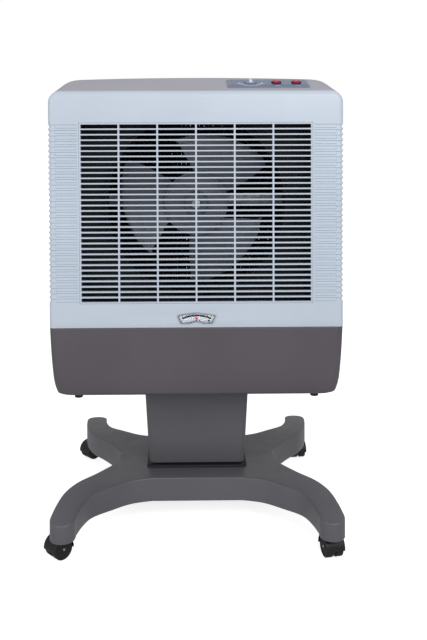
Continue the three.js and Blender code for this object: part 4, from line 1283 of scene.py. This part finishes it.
# ---- level gauge
GAUGE_FOOT_X = 38
GAUGE_ARCH_X = 16
GAUGE_ARCH_RISE = 4.5
GAUGE_SHOULDER = 5.0


def gauge_outline(inset):
    """Sector with an arched top, slanted ends and a shallow arch in its lower edge."""
    low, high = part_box("gauge_bezel")
    half = high.x / MM
    top = high.z / MM
    low_z = low.z / MM
    shoulder = top - GAUGE_SHOULDER
    arched = []
    for step in range(21):
        share = step / 20
        x = (half - 1.4 * inset) * (1 - 2 * share)
        arched.append((x, shoulder - inset + (top - shoulder) * 4 * share * (1 - share)))
    lower = [(-GAUGE_FOOT_X + inset, low_z + inset), (-GAUGE_ARCH_X - inset / 2, low_z + inset)]
    for step in range(1, 10):
        share = step / 10
        rise = GAUGE_ARCH_RISE * math.sin(math.pi * share)
        lower.append((-GAUGE_ARCH_X + 2 * GAUGE_ARCH_X * share, low_z + inset + rise))
    lower += [(GAUGE_ARCH_X + inset / 2, low_z + inset), (GAUGE_FOOT_X - inset, low_z + inset)]
    return [(x * MM, z * MM) for x, z in [*lower, *arched]]


INK_HEIGHT = 0.12 * MM
INK_EDGE = 0.02 * MM


def printed(name, outline, look, placing, slot="white_plastic"):
    """A printed shape, in millimetres, as a thin raised plate."""
    points = [(x * MM, y * MM) for x, y in outline]
    piece = plate(name, [points], INK_HEIGHT, INK_EDGE, placing, 1)
    return finish_piece(piece, look, slot=slot)


def ribbon(points, width):
    """The outline of a line of the given width along the points."""
    left = []
    right = []
    for index, point in enumerate(points):
        ahead = Vector(points[min(index + 1, len(points) - 1)])
        back = Vector(points[max(index - 1, 0)])
        along = (ahead - back).normalized()
        across = Vector((-along.y, along.x)) * width / 2
        left.append(tuple(Vector(point) + across))
        right.append(tuple(Vector(point) - across))
    return [*left, *reversed(right)]


SCALE_RADIUS = 86
SCALE_CENTRE_Z = 530.6 - SCALE_RADIUS
TICKS = 9
TICK_STEP = 5.5
FIRST_TICK = 112


def build_gauge():
    fronting(
        "gauge_bezel_ring", [gauge_outline(0), gauge_outline(2.3)], "gauge_bezel", 0.6 * MM, steel, 3, 40
    )
    pivot = JOINTS["level_swing"]["pos_m"]
    hole = [(pivot[0] + x, pivot[2] + z) for x, z in arc(0, 0, 2 * MM, 0, 345, 23)]
    inside = gauge_outline(2.7)
    fronting("gauge_dial_card", [inside, hole], "gauge_dial", 0.1 * MM, dial_grey, slot="white_plastic")
    fronting("gauge_window_pane", [inside], "gauge_window", 0.2 * MM, clear)
    on_dial = facing_front(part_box("gauge_dial")[0].y - 0.07 * MM)
    centre_z = SCALE_CENTRE_Z
    thick = arc(0, centre_z, SCALE_RADIUS, 113.5, 66.5, 30)
    printed("gauge_scale_arc", ribbon(thick, 4.0), ink_black, on_dial)
    lines = {"gauge_upper_arc": (arc(0, centre_z, 92.5, 114, 66, 30), 0.9)}
    for index in range(TICKS):
        angle = FIRST_TICK - index * TICK_STEP
        inner = arc(0, centre_z, 87.5, angle, angle, 1)[0]
        outer = arc(0, centre_z, 92, angle, angle, 1)[0]
        lines[f"gauge_tick_{index + 1}"] = ([inner, outer], 0.8)
    for name, side in (("left", -1), ("right", 1)):
        lines[f"gauge_bow_{name}"] = (arc(side * 19, centre_z + 76.5, 8, 150, 30, 10), 0.8)
    for name, (points, width) in lines.items():
        printed(name, ribbon(points, width), ink_grey, on_dial)
    printed("gauge_dot_right", arc(29, 518.5, 2.6, 0, 345, 23), ink_black, on_dial)


build_gauge()
refined("gauge_pointer", switch_red, 0.2 * MM)


# ---- controls on the slanted face
SLOPE_FOOT_Z = 1060 * MM
CONTROL_FACE = Matrix.Translation((0, FRONT_Y, SLOPE_FOOT_Z)) @ Matrix.Rotation(SLOPE_ANGLE, 4, "X")
PLATE_TOP = 2.3
KNOB = (135, 82)
SWITCH_Y = 76
SWITCHES = {"power_switch": 198, "pump_switch": 247}
ROCKER_RADIUS = 9.4
ROCKER_TILT = -6
ROCKER_SAG = 0.9


def on_slope(height):
    return CONTROL_FACE @ Matrix.Translation((0, 0, height * MM))


# left, right, low, high, corner radius and corner steps, in millimetres on the slope
FILM = (77, 276, 38, 112, 5, 5)
BAND = (79.5, 273.5, 40.5, 58, 3, 4)
BORDER = (90, 268, 62, 109, 4, 5)
RING_RADIUS = 29
DOT_CIRCLE = 35
PRINT_HEIGHT = PLATE_TOP + 0.06
RING_HEIGHT = PLATE_TOP + 0.14
DOT_HEIGHT = PLATE_TOP + 0.2


def build_controls():
    outline = [(x * MM, y * MM) for x, y in rounded_rectangle(*FILM)]
    film = plate("control_film", [outline], 2 * MM, 0.5 * MM, on_slope(PLATE_TOP - 1))
    finish_piece(film, control_film, ["control_plate"])
    on_film = on_slope(PRINT_HEIGHT)
    printed("control_band", rounded_rectangle(*BAND), control_band, on_film, "control_film")
    border = rounded_rectangle(*BORDER)
    printed("control_border", ribbon([*border, border[0]], 0.9), control_band, on_film, "control_film")
    ring = ribbon(arc(*KNOB, RING_RADIUS, 186, 354, 30), 3.2)
    printed("control_ring", ring, white_plastic, on_slope(RING_HEIGHT), "control_film")
    marks = {}
    for index in range(4):
        angle = math.radians(205 + 43 * index)
        x = KNOB[0] + DOT_CIRCLE * math.cos(angle)
        y = KNOB[1] + DOT_CIRCLE * math.sin(angle)
        marks[f"control_dot_{index + 1}"] = arc(x, y, 1.4, 0, 345, 15)
    for name, x in SWITCHES.items():
        marks[f"control_{name}_mark"] = rounded_rectangle(x - 7, x + 7, 47.5, 50, 1.0, 3)
    for name, outline in marks.items():
        printed(name, outline, white_plastic, on_slope(DOT_HEIGHT), "control_film")


def build_knob():
    disc = [(0.01, 0.3), (15.6, 0.3), (16, 1.6), (15.2, 4.2), (0.01, 4.4)]
    axis = CONTROL_FACE.to_3x3() @ Vector((0, 0, 1))
    origin = CONTROL_FACE @ Vector((KNOB[0] * MM, KNOB[1] * MM, PLATE_TOP * MM))
    skirt = lathed("speed_knob_skirt", disc, 0.8, 3, origin, axis, closed=False)
    finish_piece(skirt, control_film, ["speed_knob"], 40, body="speed_knob", slot="white_plastic")
    rings = []
    for height, grow in ((3.6, 0.0), (5.2, -0.2), (6.8, -0.7), (7.6, -1.3), (7.9, -2.0)):
        outline = rounded_rectangle(-4.4 - grow, 4.4 + grow, -14.4 - grow, 14.4 + grow, 4.0 + grow, 6)
        rings.append([
            on_slope(PLATE_TOP) @ Vector(((KNOB[0] + x) * MM, (KNOB[1] + y) * MM, height * MM))
            for x, y in outline
        ])
    grip = loft("speed_knob_grip", rings, cap_start=True, cap_end=True)
    finish_piece(grip, white_plastic, smooth=40, body="speed_knob")


def build_switch(name, x):
    axis = CONTROL_FACE.to_3x3() @ Vector((0, 0, 1))
    origin = CONTROL_FACE @ Vector((x * MM, SWITCH_Y * MM, PLATE_TOP * MM))
    profile = [(10.9, 0.3), (12.5, 0.3), (12.5, 2.4), (11.8, 3.2), (10.9, 2.6)]
    bezel = lathed(f"{name}_bezel_ring", profile, 0.5, 3, origin, axis)
    finish_piece(bezel, black_plastic, [f"{name}_bezel"], 40)
    body = {"power_switch": "power_rocker", "pump_switch": "pump_rocker"}[name]
    tilt = Matrix.Rotation(math.radians(ROCKER_TILT), 4, "X")
    rocker_frame = Matrix.Translation(origin) @ CONTROL_FACE.to_3x3().to_4x4() @ tilt
    rings = []
    for height, trim in ((1.4, 0.0), (5.2, 0.0), (6.0, 0.2), (6.5, 0.8), (6.6, 1.6)):
        ring = []
        for px, py in arc(0, 0, (ROCKER_RADIUS - trim) * MM, 0, 352.5, 47):
            sag = ROCKER_SAG * (1 - (py / (ROCKER_RADIUS * MM)) ** 2) * MM if height > 5 else 0.0
            ring.append(rocker_frame @ Vector((px, py, height * MM - sag)))
        rings.append(ring)
    rocker = loft(f"{name}_rocker_cap", rings, cap_start=True, cap_end=True)
    finish_piece(rocker, switch_red, [f"{name}_rocker"], 40, body=body)
    spot = rocker_frame @ Matrix.Translation((0, 0, 6.25 * MM))
    marks = {
        "line": [rounded_rectangle(-0.6 * MM, 0.6 * MM, 2.4 * MM, 5.8 * MM, 0.3 * MM, 2)],
        "ring": [arc(0, -4.2 * MM, radius * MM, 0, 345, 23) for radius in (2.0, 1.2)],
    }
    for label, outlines in marks.items():
        piece = plate(f"{name}_{label}_mark", outlines, 0.2 * MM, 0.04 * MM, spot, 1)
        finish_piece(piece, white_plastic, body=body)


build_controls()
build_knob()
for switch_name, switch_x in SWITCHES.items():
    build_switch(switch_name, switch_x)


# ---- floor, light and camera
FLOOR_HALF = 14.0
FLOOR_EMISSION = 0.75
AMBIENT = 0.42
LIGHTS = {"key": ((0.9, -2.4, 2.0), 33), "fill": ((-2.0, -2.2, 1.3), 16)}
LIGHT_AIM = Vector((0, 0, 0.6))
LIGHT_SIZE = 1.8


def build_floor():
    corners = [(x * FLOOR_HALF, y * FLOOR_HALF, 0) for x, y in ((-1, -1), (1, -1), (1, 1), (-1, 1))]
    floor = object_of("floor", corners, [(0, 1, 2, 3)], False)
    material, tree, shader = new_material("studio_floor")
    connect(tree, shader, clouded(tree, 1.5, 3.0, (0.93, 0.93, 0.93, 1), (0.95, 0.95, 0.95, 1)))
    set_inputs(shader, {
        "Roughness": 0.9, "Specular IOR Level": 0.1,
        "Emission Color": (1, 1, 1, 1), "Emission Strength": FLOOR_EMISSION,
    })
    floor.data.materials.append(material)
    floor.visible_diffuse = False
    floor.visible_glossy = False


def area_light(name, place, power):
    light = bpy.data.lights.new(name, "AREA")
    light.shape = "RECTANGLE"
    light.size = LIGHT_SIZE
    light.size_y = LIGHT_SIZE
    light.energy = power
    lamp = bpy.data.objects.new(name, light)
    lamp.location = place
    lamp.rotation_euler = (LIGHT_AIM - Vector(place)).to_track_quat("-Z", "Y").to_euler()
    lamp.visible_camera = False
    scene.collection.objects.link(lamp)


def build_light():
    """Soft light from two lamps and the surroundings, which look white but light the object less."""
    world = bpy.data.worlds.new("studio")
    world.use_nodes = True
    tree = world.node_tree
    background = tree.nodes["Background"]
    background.inputs["Color"].default_value = (1, 1, 1, 1)
    path = tree.nodes.new("ShaderNodeLightPath")
    strength = remap(tree, path.outputs["Is Camera Ray"], AMBIENT, 1.0, 0.0, 1.0)
    tree.links.new(strength, background.inputs["Strength"])
    scene.world = world
    for name, (place, power) in LIGHTS.items():
        area_light(name, place, power)
    scene.view_settings.view_transform = "Standard"


CAMERA_PLACE = (-0.011, -2.001, 0.923)
CAMERA_PITCH = -1.35
CAMERA_YAW = -0.7
CAMERA_ROLL = -0.2
LENS = 42.63
SENSOR = 36
SHIFT = (0.020, -0.2375)


def build_camera():
    lens = bpy.data.cameras.new("camera")
    lens.lens = LENS
    lens.sensor_width = SENSOR
    lens.shift_x = SHIFT[0]
    lens.shift_y = SHIFT[1]
    camera = bpy.data.objects.new("camera", lens)
    scene.collection.objects.link(camera)
    turn = Matrix.Rotation(math.radians(CAMERA_YAW), 4, "Z")
    tip = Matrix.Rotation(math.radians(90 + CAMERA_PITCH), 4, "X")
    roll = Matrix.Rotation(math.radians(CAMERA_ROLL), 4, "Z")
    camera.matrix_world = Matrix.Translation(CAMERA_PLACE) @ turn @ tip @ roll
    scene.camera = camera


build_floor()
build_light()
build_camera()
